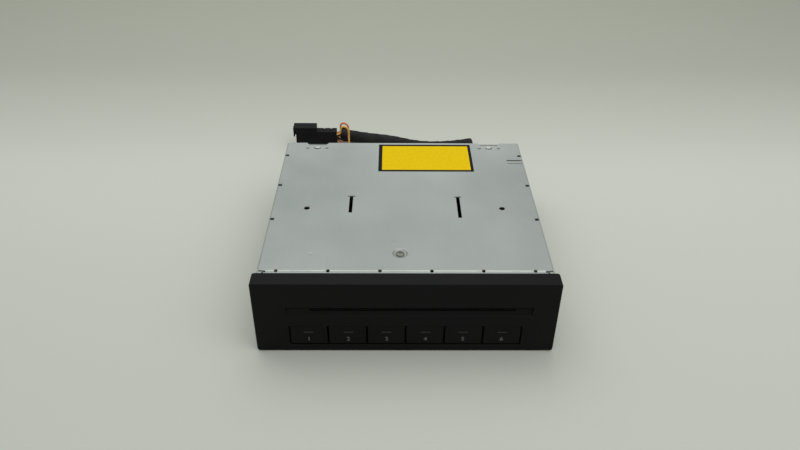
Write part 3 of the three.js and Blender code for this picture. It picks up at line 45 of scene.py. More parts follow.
from mathutils import Matrix, Vector


# Camera: it stands in front of the unit and looks down on it, as the photograph's does. It was fitted to the
# corners of the case and of the fascia, whose width is known. Its turns are in radians.
def put_in_scene(name, data):
    """A new object in the scene that shows a mesh or a curve, or is a lamp or a camera."""
    thing = bpy.data.objects.new(name, data)
    bpy.context.collection.objects.link(thing)
    return thing


lens_data = bpy.data.cameras.new("photo_lens")
lens_data.sensor_width = 36
lens_data.lens = 32.79
camera = put_in_scene("photo_camera", lens_data)
bpy.context.scene.camera = camera
camera_place = (-0.00823, -0.41015, 0.32173)
turn_right, look_down, lean = 0.013, 0.612, 0.010
ahead = Vector((math.sin(turn_right) * math.cos(look_down), math.cos(turn_right) * math.cos(look_down),
                -math.sin(look_down)))
level = Vector((math.cos(turn_right), -math.sin(turn_right), 0))
raised = level.cross(ahead)
right_side = math.cos(lean) * level + math.sin(lean) * raised
upward = right_side.cross(ahead)
camera.matrix_world = Matrix([*zip(right_side, upward, -ahead, camera_place), (0, 0, 0, 1)])


# Table: pale and matt, with painted light in its colour: palest round the unit, a painted pool of light, and
# darker at the back, painted shade, as in the photograph. Two broad soft lamps hang over it, one behind and
# one in front, in a pale room.
def add_node(tree, kind, inputs=(), **settings):
    """A node with its settings and inputs. An input is a value or another node's output."""
    made = tree.nodes.new(kind)
    for name, value in settings.items():
        setattr(made, name, value)
    for name, value in dict(inputs).items():
        if isinstance(value, bpy.types.NodeSocket):
            tree.links.new(value, made.inputs[name])
        else:
            made.inputs[name].default_value = value
    return made


def new_finish(name, roughness, metallic=0.0, gloss=0.5):
    """A new material, its node tree, and the place on the object in metres."""
    made = bpy.data.materials.new(name)
    made.use_nodes = True
    shader = made.node_tree.nodes["Principled BSDF"]
    shader.inputs["Roughness"].default_value = roughness
    shader.inputs["Metallic"].default_value = metallic
    shader.inputs["Specular IOR Level"].default_value = gloss
    return made, made.node_tree, add_node(made.node_tree, "ShaderNodeTexCoord").outputs["Object"]


def dress(finish, colour, roughness=None, relief=()):
    """A finish with its colour, its roughness if that varies, and its relief from layers of a height and the
    height's depth in metres."""
    tree = finish.node_tree
    shader = tree.nodes["Principled BSDF"]
    tree.links.new(colour, shader.inputs["Base Color"])
    if roughness:
        tree.links.new(roughness, shader.inputs["Roughness"])
    above = shader.inputs["Normal"]
    for height, depth in reversed(relief):
        bump = add_node(tree, "ShaderNodeBump", {"Height": height, "Distance": depth, "Strength": 1.0})
        tree.links.new(bump.outputs["Normal"], above)
        above = bump.inputs["Normal"]
    return finish


bpy.context.scene.view_settings.view_transform = "Standard"
# Painted light: along the table's depth its colour runs from a painted pool of light round the unit to
# painted shade at the back.
NEAR_TONE, FAR_TONE = -0.15, 0.6
table_painted_light_tones = (
    (0, (0.43, 0.445, 0.405)), (0.2, (0.465, 0.48, 0.435)), (0.36, (0.505, 0.52, 0.475)),
    (0.45, (0.465, 0.48, 0.43)), (0.6, (0.38, 0.392, 0.345)), (0.7, (0.355, 0.366, 0.315)),
    (1, (0.36, 0.37, 0.31)))
table_paint, table_tree, table_place = new_finish("pale_table_painted_light", 0.75)
away = add_node(table_tree, "ShaderNodeSeparateXYZ", {"Vector": table_place}).outputs["Y"]
away_share = add_node(table_tree, "ShaderNodeMapRange", {
    "Value": away, "From Min": NEAR_TONE, "From Max": FAR_TONE}).outputs["Result"]
painted_light_ramp = add_node(table_tree, "ShaderNodeValToRGB", {"Fac": away_share})
painted_light_ramp.color_ramp.interpolation = "B_SPLINE"
for spot, colour in table_painted_light_tones[1:-1]:
    painted_light_ramp.color_ramp.elements.new(spot)
for stop, (spot, colour) in zip(painted_light_ramp.color_ramp.elements, table_painted_light_tones):
    stop.color = (*colour, 1)
dress(table_paint, painted_light_ramp.outputs["Color"])
table_shape = bpy.data.meshes.new("table_top")
table_shape.from_pydata([(-4, -3, 0), (4, -3, 0), (4, 6, 0), (-4, 6, 0)], [], [(0, 1, 2, 3)])
table_shape.materials.append(table_paint)
table = put_in_scene("table_top", table_shape)


def soft_lamp(name, place, aim, size, watts, colour):
    """A lamp with a broad soft face, turned to the place that it is aimed at."""
    lamp_data = bpy.data.lights.new(name, "AREA")
    lamp_data.shape = "RECTANGLE"
    lamp_data.size, lamp_data.size_y = size
    lamp_data.energy = watts
    lamp_data.color = colour
    lamp = put_in_scene(name, lamp_data)
    lamp.location = place
    lamp.rotation_euler = (Vector(aim) - Vector(place)).to_track_quat("-Z", "Y").to_euler()


soft_lamp("window_behind", place=(-0.2, 0.4, 1.0), aim=(0, 0, 0), size=(1.2, 0.8), watts=5.5,
          colour=(0.97, 1.0, 0.98))
soft_lamp("room_front", place=(0.35, -0.5, 0.95), aim=(0, -0.05, 0), size=(1.4, 1.0), watts=7.5,
          colour=(1.0, 0.99, 0.97))
room = bpy.data.worlds.new("pale_room")
bpy.context.scene.world = room
room.use_nodes = True
room.node_tree.nodes["Background"].inputs["Color"].default_value = (0.82, 0.84, 0.82, 1)
room.node_tree.nodes["Background"].inputs["Strength"].default_value = 0.55

# Loom plug: a black nylon housing with a shoulder, a latch on top and a round throat for the loom. It is
# pushed into the rear socket. Its sharp edges are eased, as on most pieces here.
FASCIA_DEPTH = 10.6
FASCIA_BACK = round(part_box("fascia")[0].y + FASCIA_DEPTH / 1000, 5)


def metres(across, behind, up):
    """A place on the frame, from millimetres across, behind the fascia's back and up."""
    return Vector((across, behind, up)) / 1000 + Vector((0, FASCIA_BACK, 0))


def millimetres(place):
    """The millimetres across, behind the fascia's back and up of a place on the frame."""
    return place.x * 1000, (place.y - FASCIA_BACK) * 1000, place.z * 1000


def tint(red, green, blue):
    """A colour as a screen shows it, each part from 0 to 255, as the shader takes it."""
    parts = [part / 255 for part in (red, green, blue)]
    return (*[((part + 0.055) / 1.055) ** 2.4 if part > 0.04 else part / 12.92 for part in parts], 1)


def noise(tree, place, scale, detail=3.0, stretch=(1, 1, 1)):
    """Cloudy noise between 0 and 1, of so many lumps in a metre, which a stretch can draw out."""
    drawn = add_node(tree, "ShaderNodeMapping", {"Vector": place, "Scale": stretch}).outputs["Vector"]
    return add_node(tree, "ShaderNodeTexNoise", {
        "Vector": drawn, "Scale": scale, "Detail": detail}).outputs["Fac"]


def spread(tree, value, low, high, start=0.3, end=0.7):
    """A value between start and end, brought to a value between low and high."""
    return add_node(tree, "ShaderNodeMapRange", {
        "Value": value, "From Min": start, "From Max": end, "To Min": low, "To Max": high}).outputs["Result"]


def blended(tree, share, first, second, way="MIX"):
    """A colour between two colours, or their product."""
    mixer = add_node(tree, "ShaderNodeMix", {0: share, 6: first, 7: second}, data_type="RGBA", blend_type=way)
    return mixer.outputs[2]


def moulding(name, colour, paler, grain=2600, depth=0.00003, roughness=(0.42, 0.56)):
    """A moulded plastic: an eroded grain, a faint unevenness of colour, and rubbed places that shine more."""
    made, tree, place = new_finish(name, 0.5, gloss=0.09)
    clouds = noise(tree, place, 28)
    dust = noise(tree, place, 900, 4)
    worn = blended(tree, spread(tree, clouds, 0, 0.6), colour, paler)
    dusty = blended(tree, spread(tree, dust, 0, 0.5, 0.6, 0.8), worn, paler)
    return dress(made, dusty, spread(tree, clouds, *roughness),
                 [(noise(tree, place, grain, 4), depth), (noise(tree, place, 60), depth * 4)])


def plain_mesh(thing):
    """The mesh that an object shows, with its modifiers' work in it."""
    return bpy.data.meshes.new_from_object(thing.evaluated_get(bpy.context.evaluated_depsgraph_get()))


def settle(thing):
    """Gives an object the mesh that its modifiers make, and takes the modifiers away."""
    plain = plain_mesh(thing)
    thing.modifiers.clear()
    thing.data = plain


def ease(thing, width):
    """Rounds an object's sharp edges by a width in metres and shades the rest smooth."""
    sharp_angle = math.radians(40)
    thing.data.shade_smooth()
    rounding = thing.modifiers.new("eased_edges", "BEVEL")
    rounding.width = width
    rounding.segments = 2
    rounding.limit_method = "ANGLE"
    rounding.angle_limit = sharp_angle
    settle(thing)
    thing.data.set_sharp_from_angle(angle=sharp_angle)
    evening = thing.modifiers.new("flat_faces_look_flat", "WEIGHTED_NORMAL")
    evening.keep_sharp = True
    settle(thing)


def eased_copy(node, body, slot, width, *finishes, choose=None):
    """A node's solid with its flat faces joined and its edges rounded by a width in metres. choose gives the
    number of a face's finish from the millimetres of the face's middle."""
    shape = bmesh.new()
    shape.from_mesh(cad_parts[node].data)
    bmesh.ops.remove_doubles(shape, verts=shape.verts, dist=0.000002)
    bmesh.ops.dissolve_limit(shape, angle_limit=math.radians(0.6), verts=shape.verts, edges=shape.edges)
    if choose:
        for face in shape.faces:
            face.material_index = choose(*millimetres(face.calc_center_median()))
    made = bpy.data.meshes.new(node + "_eased")
    shape.to_mesh(made)
    shape.free()
    for finish in finishes:
        made.materials.append(finish)
    thing = put_in_scene(node + "_eased", made)
    ease(thing, width)
    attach(thing, body)
    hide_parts(node)
    return thing


black_nylon = moulding("black_nylon", tint(15, 15, 16), tint(25, 25, 26), grain=2000, depth=0.000015,
                       roughness=(0.36, 0.5))
plug = eased_copy("cable_plug", "case", "black_moulding", 0.0002, black_nylon)


# Far connector: a black nylon housing with a raised cap over its mouth, lying loose at the loom's end. Two
# rows of contact mouths, rolled from brass strip, stand on the floor of its opening.
def new_tree(name, result, **inputs):
    """A tree of geometry nodes, what its inputs give inside it, and the identifiers to set them by."""
    tree = bpy.data.node_groups.new(name, "GeometryNodeTree")
    asked = [tree.interface.new_socket(word, in_out="INPUT", socket_type="NodeSocket" + kind)
             for word, kind in inputs.items()]
    tree.interface.new_socket(result, in_out="OUTPUT", socket_type="NodeSocketGeometry")
    given = add_node(tree, "NodeGroupInput").outputs
    return tree, given, {socket.name: socket.identifier for socket in asked}


def end_tree(tree, shape, finish):
    """Makes a tree's instances real, gives the mesh its finish and hands it out."""
    real = add_node(tree, "GeometryNodeRealizeInstances", {"Geometry": shape})
    dressed = add_node(tree, "GeometryNodeSetMaterial", {
        "Geometry": real.outputs["Geometry"], "Material": finish})
    add_node(tree, "NodeGroupOutput", {0: dressed.outputs["Geometry"]})


def run_tree(thing, tree, values):
    """The plain mesh object that a tree makes from an object, which it takes the place of."""
    modifier = thing.modifiers.new("made", "NODES")
    modifier.node_group = tree
    for identifier, value in values.items():
        modifier[identifier] = value
    plain = plain_mesh(thing)
    name = thing.name
    bpy.data.objects.remove(thing)
    return put_in_scene(name, plain)


def contact_tree():
    """Nodes that set a rolled contact mouth, facing left, on each point of a mesh."""
    tree, given, identifiers = new_tree(
        "contact_rows", "Contacts", Places="Geometry", Radius="Float", Lip="Float", Finish="Material")
    mouth = add_node(tree, "GeometryNodeCurvePrimitiveCircle", {"Resolution": 28, "Radius": given["Radius"]})
    lip = add_node(tree, "GeometryNodeCurvePrimitiveCircle", {"Resolution": 10, "Radius": given["Lip"]})
    rolled = add_node(tree, "GeometryNodeCurveToMesh", {
        "Curve": mouth.outputs["Curve"], "Profile Curve": lip.outputs["Curve"]})
    facing_left = add_node(tree, "GeometryNodeTransform", {
        "Geometry": rolled.outputs["Mesh"], "Rotation": (0, math.radians(90), 0), "Scale": (1, 1, 2.2)})
    set_out = add_node(tree, "GeometryNodeInstanceOnPoints", {
        "Points": given["Places"], "Instance": facing_left.outputs["Geometry"]})
    end_tree(tree, set_out.outputs["Instances"], given["Finish"])
    return tree, identifiers


def polished_metal(name, colour, paler, drawn=(1, 0.05, 1), roughness=(0.22, 0.36)):
    """Bare metal with fine drawn lines and a thin dull film in places."""
    made, tree, place = new_finish(name, 0.3, 0.95)
    lines = noise(tree, place, 1400, 3, drawn)
    film = noise(tree, place, 70, 4)
    base = blended(tree, spread(tree, lines, 0, 0.7), colour, paler)
    toned = blended(tree, spread(tree, film, 0, 0.4, 0.5, 0.75), base, colour)
    return dress(made, toned, spread(tree, film, *roughness), [(lines, 0.000006)])


CONTACT_FLOOR, CONTACT_ROWS, CONTACT_HEIGHTS = -85.3, (245.7, 248.3), (3.3, 6, 8.7, 11.4)
connector = eased_copy("far_connector", "case", "black_moulding", 0.00035, black_nylon)
contact_brass = polished_metal("contact_brass", tint(170, 138, 70), tint(206, 176, 104))
contact_rows, contact_input = contact_tree()
contact_places = bpy.data.meshes.new("connector_contacts")
contact_places.from_pydata([metres(CONTACT_FLOOR, row, height) for row in CONTACT_ROWS
                            for height in CONTACT_HEIGHTS], [], [])
contacts = run_tree(put_in_scene("connector_contacts", contact_places), contact_rows, {
    contact_input["Radius"]: 0.00075, contact_input["Lip"]: 0.0002, contact_input["Finish"]: contact_brass})
contacts.data.shade_smooth()
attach(contacts, "case")

# Loom: single wires wound with black cloth tape. A thin lead comes out of the plug in the rear socket and
# goes into a thick padded sleeve on the table, and three short wires bridge the last centimetres to the
# connector.
lead_route = [
    (55, 178.3, 20), (55, 179.4, 20), (55.1, 184, 19.8), (55.7, 189, 18.4), (57, 194.5, 15.6),
    (59, 200, 11.5), (61.5, 206, 7.6), (64.4, 212, 4.6), (67.6, 218, 3), (70.4, 223.6, 2.6),
    (72.2, 228.6, 2.6), (72.9, 233.4, 2.6), (72.2, 238, 2.6), (69.9, 241.6, 2.6), (66.4, 243.9, 2.7),
    (62.6, 244.7, 2.8), (61, 244.75, 2.9)]
sleeve_route = [
    (62.3, 244.3, 5.55), (55, 242.2, 5.55), (46, 239.9, 5.55), (37.5, 238.6, 5.55), (29, 238, 5.55),
    (21, 238.4, 5.55), (13, 239.9, 5.55), (5, 242.6, 5.55), (-2, 245.6, 5.55), (-10, 248.7, 5.55),
    (-18, 250.9, 5.55), (-26, 252.6, 5.55), (-34, 254.7, 5.55), (-42.8, 257.5, 5.55),
    (-50, 260.1, 5.55), (-53.9, 261.4, 5.55)]
wire_routes = {
    "wire_orange": [
        (-57.7, 247, 14.4), (-56, 247, 14.9), (-54.8, 246.8, 16.1), (-54.3, 246.5, 17.8),
        (-54.3, 246.1, 19.7), (-54.3, 245.8, 21.6), (-53.3, 245.4, 24.3), (-50.75, 244.3, 25.45),
        (-48.2, 243.2, 24.3), (-47.2, 242.8, 21.6), (-47.2, 242.3, 17.6), (-47.1, 241.9, 13),
        (-47.1, 241.7, 7.1), (-47.6, 242.3, 4.35), (-48.7, 244.1, 2.5), (-50.5, 246.3, 2.1),
        (-53.3, 249.5, 2.9), (-56.1, 252.5, 3.5), (-58.8, 255.4, 4.3), (-59.9, 256.9, 4.8),
        (-60.2, 258.45, 5.3), (-59.5, 260.9, 6), (-57.7, 262.7, 6.7), (-55.3, 263.35, 7),
        (-53.75, 263.1, 7)],
    "wire_yellow": [
        (-57.7, 244.4, 14.4), (-56, 244.4, 14.9), (-54.8, 244.2, 16.1), (-54.2, 243.8, 17.8),
        (-54.2, 243.2, 19.4), (-53.1, 242.8, 22.2), (-50.5, 241.8, 23.35), (-47.9, 240.8, 22.2),
        (-46.8, 240.4, 19.4), (-46.8, 239.9, 15), (-46.8, 239.6, 10.5), (-46.8, 239.5, 6.1),
        (-47.2, 240, 3.6), (-48.35, 241.5, 1.8), (-49.9, 243.4, 1.1), (-52.8, 247.2, 1.1),
        (-55.7, 250.9, 1.1), (-58.6, 254.6, 1.2), (-59.4, 256.8, 1.7), (-58.4, 259.4, 2.6),
        (-56.7, 260.3, 3.4), (-55.8, 260.4, 3.7), (-54.7, 260.2, 3.9)],
    "wire_black": [
        (-57.7, 249.4, 10.2), (-56, 249.4, 10.7), (-54.8, 249.3, 11.9), (-54.3, 249.1, 13.6),
        (-54.3, 248.8, 15.4), (-53.3, 248.6, 17.8), (-50.95, 248.3, 18.8), (-48.6, 248.1, 17.8),
        (-47.6, 248.1, 15.4), (-47.5, 248.2, 12.4), (-47.6, 248.3, 9.4), (-48.1, 248.6, 7.15),
        (-49.5, 249.5, 5.6), (-51.4, 250.7, 5.1), (-54.5, 252.2, 5.3), (-57.6, 253.8, 5.9),
        (-58.9, 255.1, 6.3), (-59.3, 256.8, 6.7), (-58.8, 258.5, 7), (-57.6, 259.75, 7.2),
        (-55.9, 260.2, 7.4), (-54.8, 260, 7.4)]}


def smooth_line(route, gap):
    """Points a gap apart on the curve through a route's points, in metres, and the curve's length. The
    solids follow the same curve."""
    corners = [metres(*place) for place in route]
    corners = [2 * corners[0] - corners[1], *corners, 2 * corners[-1] - corners[-2]]
    fine = []
    for a, b, c, d in zip(corners, corners[1:], corners[2:], corners[3:]):
        t1 = (b - a).length ** 0.5
        t2 = t1 + (c - b).length ** 0.5
        t3 = t2 + (d - c).length ** 0.5
        for step in range(24):
            t = t1 + (t2 - t1) * step / 24
            ab = a.lerp(b, t / t1)
            bc = b.lerp(c, (t - t1) / (t2 - t1))
            cd = c.lerp(d, (t - t2) / (t3 - t2))
            abc = ab.lerp(bc, t / t2)
            bcd = bc.lerp(cd, (t - t1) / (t3 - t1))
            fine.append(abc.lerp(bcd, (t - t1) / (t2 - t1)))
    fine.append(corners[-2])
    whole = sum((q - p).length for p, q in zip(fine, fine[1:]))
    count = max(2, round(whole / gap))
    line, passed, goal = [fine[0]], 0.0, whole / count
    for p, q in zip(fine, fine[1:]):
        stretch = (q - p).length
        while stretch and passed + stretch >= goal - 1e-9 and len(line) < count:
            line.append(p.lerp(q, (goal - passed) / stretch))
            goal += whole / count
        passed += stretch
    line.append(fine[-1])
    return line, whole


def kept_value(tree, curve, name, value):
    """A curve that keeps a value of its own points, and that value on the tube that is swept with it."""
    keeper = tree.nodes.new("GeometryNodeCaptureAttribute")
    keeper.capture_items.new("FLOAT", name)
    tree.links.new(curve, keeper.inputs["Geometry"])
    tree.links.new(value, keeper.inputs[name])
    return keeper.outputs["Geometry"], keeper.outputs[name]


def winding_tree():
    """Nodes that wind overlapping tape round a line: each turn lies a step lower at its far edge."""
    tree, given, identifiers = new_tree(
        "wound_tape", "Sleeve", Line="Geometry", Radius="Float", Turn="Float", Step="Float",
        Finish="Material")

    def reckoned(operation, first, second=0.0):
        """What an operation makes of two values."""
        return add_node(tree, "ShaderNodeMath", {0: first, 1: second}, operation=operation).outputs[0]

    along = add_node(tree, "GeometryNodeSplineParameter").outputs
    fine = add_node(tree, "GeometryNodeResampleCurve", {
        "Curve": given["Line"], "Length": 0.0007}, mode="LENGTH")
    line, distance = kept_value(tree, fine.outputs["Curve"], "along", along["Length"])
    circle = add_node(tree, "GeometryNodeCurvePrimitiveCircle", {"Resolution": 48, "Radius": given["Radius"]})
    ring, around = kept_value(tree, circle.outputs["Curve"], "around", along["Factor"])
    tube = add_node(tree, "GeometryNodeCurveToMesh", {
        "Curve": line, "Profile Curve": ring, "Fill Caps": True})
    share = reckoned("FRACT", reckoned("ADD", reckoned("DIVIDE", distance, given["Turn"]), around))
    down = reckoned("MULTIPLY", reckoned("MULTIPLY", share, given["Step"]), -1.0)
    outward = add_node(tree, "GeometryNodeInputNormal").outputs["Normal"]
    inward = add_node(tree, "ShaderNodeVectorMath", {0: outward, "Scale": down}, operation="SCALE")
    pressed = add_node(tree, "GeometryNodeSetPosition", {
        "Geometry": tube.outputs["Mesh"], "Offset": inward.outputs["Vector"]})
    end_tree(tree, pressed.outputs["Geometry"], given["Finish"])
    return tree, identifiers


def line_object(name, points):
    """A bare curve through points."""
    curve = bpy.data.curves.new(name, "CURVE")
    curve.dimensions = "3D"
    spline = curve.splines.new("POLY")
    spline.points.add(len(points) - 1)
    for point, place in zip(spline.points, points):
        point.co = (*place, 1)
    return put_in_scene(name, curve)


def cloth_tape(name):
    """Black cloth tape: a fine weave of threads both ways, dusty and dull."""
    made, tree, place = new_finish(name, 0.8, gloss=0.25)
    fluff = noise(tree, place, 1500, 5)
    dust = noise(tree, place, 90, 4)
    base = blended(tree, spread(tree, dust, 0, 1, 0.4, 0.7), tint(19, 19, 20), tint(34, 34, 34))
    fluffy = blended(tree, spread(tree, fluff, 0, 0.7, 0.5, 0.75), base, tint(48, 48, 47))
    threads = [add_node(tree, "ShaderNodeTexWave", {"Vector": place, "Scale": 700.0, "Distortion": 1.5},
                        bands_direction=way).outputs["Fac"] for way in ("X", "Y")]
    return dress(made, fluffy, relief=[(threads[0], 0.00004), (threads[1], 0.00004), (fluff, 0.00005)])


def shade(mesh, degrees):
    """Shades a mesh smooth, but for edges that are sharper than so many degrees."""
    mesh.shade_smooth()
    mesh.set_sharp_from_angle(angle=math.radians(degrees))


winding, winding_input = winding_tree()
tape = cloth_tape("black_cloth_tape")
TAPE_EDGE_ANGLE = 50


def wound_cord(name, route, radius, turn, step):
    """A run of the loom wound with tape. Turn is how far one turn of the tape is from the next, and step
    how much lower its far edge lies, both in metres."""
    line, length = smooth_line(route, 0.0012)
    wound = run_tree(line_object(name, line), winding, {
        winding_input["Radius"]: radius, winding_input["Turn"]: turn, winding_input["Step"]: step,
        winding_input["Finish"]: tape})
    shade(wound.data, TAPE_EDGE_ANGLE)
    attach(wound, "case")
    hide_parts("cable_sleeve")
    return wound, line, length


lead, lead_line, lead_length = wound_cord(
    "loom_lead", lead_route, radius=0.00226, turn=0.007, step=0.0002)
sleeve, sleeve_line, sleeve_length = wound_cord(
    "loom_sleeve", sleeve_route, radius=0.00522, turn=0.0095, step=0.00035)
collar_radius, collar_depth, collar_ahead, collar_easing = 0.00505, 0.0014, 0.0006, 0.0004
collar_way = (sleeve_line[1] - sleeve_line[0]).normalized().to_track_quat("Z", "Y").to_matrix().to_4x4()
collar_way.translation = sleeve_line[0]
collar_shape = bmesh.new()
bmesh.ops.create_cone(
    collar_shape, cap_ends=True, segments=64, radius1=collar_radius, radius2=collar_radius,
    depth=collar_depth, matrix=collar_way @ Matrix.Translation((0, 0, collar_ahead)))
rims = [edge for edge in collar_shape.edges if edge.calc_face_angle() > 1]
bmesh.ops.bevel(collar_shape, geom=rims, offset=collar_easing, segments=3, affect="EDGES", profile=0.5)
collar_mesh = bpy.data.meshes.new("sleeve_collar")
collar_shape.to_mesh(collar_mesh)
collar_shape.free()
collar_mesh.materials.append(tape)
shade(collar_mesh, TAPE_EDGE_ANGLE)
collar = put_in_scene("sleeve_collar", collar_mesh)
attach(collar, "case")
insulations = {
    "wire_orange": ("orange_insulation", tint(178, 96, 46), tint(206, 130, 80)),
    "wire_yellow": ("yellow_insulation", tint(200, 154, 76), tint(224, 186, 118)),
    "wire_black": ("black_insulation", tint(18, 18, 18), tint(34, 34, 34))}
wire_radius = line_gap = 0.0008
for node, (slot_name, colour, paler) in insulations.items():
    wire_line, wire_length = smooth_line(wire_routes[node], line_gap)
    wire = line_object(node + "_insulated", wire_line)
    wire.data.bevel_depth = wire_radius
    wire.data.bevel_resolution = 5
    wire.data.use_fill_caps = True
    wire.data.materials.append(moulding(
        slot_name, colour, paler, grain=1800, depth=0.000008, roughness=(0.30, 0.42)))
    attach(wire, "case")
    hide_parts(node)

# Fascia: one black moulding in ABS with an eroded satin grain, chamfered round its rim, with a shallow
# finger recess above and below the disc slot. Its rear hooks click into the chassis tray's sides.
black_plastic = moulding("black_moulding", tint(12, 12, 12), tint(18, 18, 19))
eased_copy("fascia", "case", "black_moulding", 0.0003, black_plastic)


# Keys: six black mouldings with a crowned edge. Each carries a printed digit, and above it a narrow
# light-pipe window, which is nearly as dark as the key while its lamp is off.
def mottled(name, roughness, lumps, colour, paler):
    """A plain finish of two near colours, with so many lumps in a metre."""
    made, tree, place = new_finish(name, roughness)
    return dress(made, blended(tree, spread(tree, noise(tree, place, lumps), 0, 1), colour, paler))


def rounded(left, right, front, back, radius):
    """The corners of a rectangle with rounded corners."""
    steps = 5
    points = []
    for turn, (a, b) in enumerate(((right - radius, back - radius), (left + radius, back - radius),
                                   (left + radius, front + radius), (right - radius, front + radius))):
        for step in range(steps + 1):
            angle = math.pi / 2 * (turn + step / steps)
            points.append((a + radius * math.cos(angle), b + radius * math.sin(angle)))
    return points


def closed_solid(name, points, faces):
    """An object with a closed mesh whose faces point outwards, from points in metres."""
    made = bpy.data.meshes.new(name)
    made.from_pydata(points, [], faces)
    shape = bmesh.new()
    shape.from_mesh(made)
    bmesh.ops.recalc_face_normals(shape, faces=shape.faces)
    shape.to_mesh(made)
    shape.free()
    return put_in_scene(name, made)


def plate(name, outlines, low, high, place=lambda a, b, height: (a, b, height)):
    """Closed prisms on outlines in millimetres, from low to high. They lie level, or place turns an
    outline's two values and a height into millimetres across, behind the fascia's back and up."""
    points, faces = [], []
    for outline in outlines:
        first, count = len(points), len(outline)
        for height in (low, high):
            points += [metres(*place(a, b, height)) for a, b in outline]
        faces.append([first + count - 1 - step for step in range(count)])
        faces.append([first + count + step for step in range(count)])
        for step in range(count):
            after = (step + 1) % count
            faces.append([first + step, first + after, first + count + after, first + count + step])
    return closed_solid(name, points, faces)


key_plastic = moulding("key_moulding", tint(11, 11, 11), tint(17, 17, 18), grain=3400, depth=0.000015,
                       roughness=(0.36, 0.46))
print_ink = mottled("grey_key_print", 0.6, 2500, tint(66, 66, 65), tint(104, 104, 101))
lamp_window = mottled("smoked_light_pipe", 0.25, 700, tint(18, 19, 20), tint(26, 27, 28))
KEY_FRONT = round(millimetres(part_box("button_1")[0])[1], 1)
DIGIT_PLACES = (-58.6, -34.7, -11.5, 12.1, 34.9, 58.5)
DIGIT_HEIGHT, DIGIT_AHEAD = 10, 0.01
WINDOW_HALF, WINDOW_LOW, WINDOW_HIGH, WINDOW_CORNER, WINDOW_AHEAD = 2.9, 15.2, 16, 0.35, 0.03
for number, middle in enumerate(DIGIT_PLACES, start=1):
    eased_copy(f"button_{number}", f"key_{number}", "black_moulding", 0.00035, key_plastic)
    writing = bpy.data.curves.new(f"digit_{number}", "FONT")
    writing.body = str(number)
    writing.size = 0.0043
    writing.align_x = "CENTER"
    writing.align_y = "CENTER"
    writing.extrude = 0.00002
    writing.offset = 0.00004
    stencil = put_in_scene(f"stencil_{number}", writing)
    bpy.context.view_layer.update()
    printed = plain_mesh(stencil)
    bpy.data.objects.remove(stencil)
    stand_up = Matrix.Rotation(math.radians(90), 4, "X")
    printed.transform(Matrix.Translation(metres(middle, KEY_FRONT - DIGIT_AHEAD, DIGIT_HEIGHT)) @ stand_up)
    printed.materials.clear()
    printed.materials.append(print_ink)
    digit = put_in_scene(f"key_digit_{number}", printed)
    window = rounded(middle - WINDOW_HALF, middle + WINDOW_HALF, WINDOW_LOW, WINDOW_HIGH, WINDOW_CORNER)
    lamp_strip = plate(f"key_lamp_{number}", [window], 0, WINDOW_AHEAD, lambda a, b, c: (a, KEY_FRONT - c, b))
    lamp_strip.data.materials.append(lamp_window)
    for mark in (digit, lamp_strip):
        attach(mark, f"key_{number}")


# Top cover: 0.8 mm zinc-plated sheet, pressed and folded. Its front lip is set 0.6 mm lower to go under
# the fascia, both long sides are folded down, and the chassis tray's hooks stand in notches at the folds.
def zinc_plate(name, colour, paler, grain=1.0, toned=None):
    """Rolled, zinc-plated steel: a fine dull grain drawn out along the sheet, soft cloudy patches of tone,
    small handling marks, and an even matt shine. toned gives painted light: the tone's share at a place
    towards the front, painted darker as shade, and at one towards the back, painted lighter, and the two
    places in metres."""
    made, tree, place = new_finish(name, 0.5, 0.45)
    clouds = noise(tree, place, 14, 4)
    rolled = noise(tree, place, 900, 3, (1, 0.06, 1))
    speckled = noise(tree, place, 2200, 2)
    marks = noise(tree, place, 160, 6, (0.3, 1, 1))
    base = blended(tree, spread(tree, clouds, 0, 1, 0.35, 0.65), colour, paler)
    base = blended(tree, spread(tree, rolled, 0, 0.22 * grain), base, paler)
    base = blended(tree, spread(tree, speckled, 0, 0.25 * grain), base, colour)
    base = blended(tree, spread(tree, marks, 0, 0.35, 0.68, 0.76), base, tint(104, 108, 106))
    if toned:
        behind = add_node(tree, "ShaderNodeSeparateXYZ", {"Vector": place}).outputs["Y"]
        base = blended(tree, 1.0, base, spread(tree, behind, *toned), "MULTIPLY")
    return dress(made, base, spread(tree, clouds, 0.40, 0.52),
                 [(speckled, 0.000012), (rolled, 0.000008), (noise(tree, place, 35), 0.00006)])


def stand_for(thing, node, slot, *finishes):
    """Gives an object its finishes, and sets it in the place of a node of the case."""
    thing.data.materials.clear()
    for finish in finishes:
        thing.data.materials.append(finish)
    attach(thing, "case")
    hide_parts(node)


def stepped(start, end, gap):
    """Values from start to end, a gap or less apart."""
    count = max(1, math.ceil(round((end - start) / gap, 6)))
    return [start + (end - start) * step / count for step in range(count + 1)]


def lines_over(*runs):
    """Places of a mesh's lines, in order, from runs that each have a start, an end and a widest gap."""
    return sorted({round(value, 3) for run in runs for value in stepped(*run)})


def pressed_depth(distance, rim, slope, depth):
    """How deep a pressed form is at a distance: nothing past its rim, its whole depth within its slope."""
    share = min(1.0, max(0.0, (rim - distance) / slope))
    return depth * (share * share * (3 - 2 * share))


def arc(across, behind, radius, start, end):
    """Points on a round stretch between two angles in radians."""
    return [(across + radius * math.cos(angle), behind + radius * math.sin(angle))
            for angle in stepped(start, end, 0.2)]


def round_hole(across, behind, radius, count=36):
    """Points round a circle."""
    turns = [math.tau * (step + 0.37) / count for step in range(count)]
    return [(across + radius * math.cos(turn), behind + radius * math.sin(turn)) for turn in turns]


def cut_out(thing, tool):
    """Cuts another object out of an object, and takes it away."""
    cut = thing.modifiers.new("cut", "BOOLEAN")
    cut.operation = "DIFFERENCE"
    cut.solver = "MANIFOLD"
    cut.object = tool
    settle(thing)
    bpy.data.objects.remove(tool)
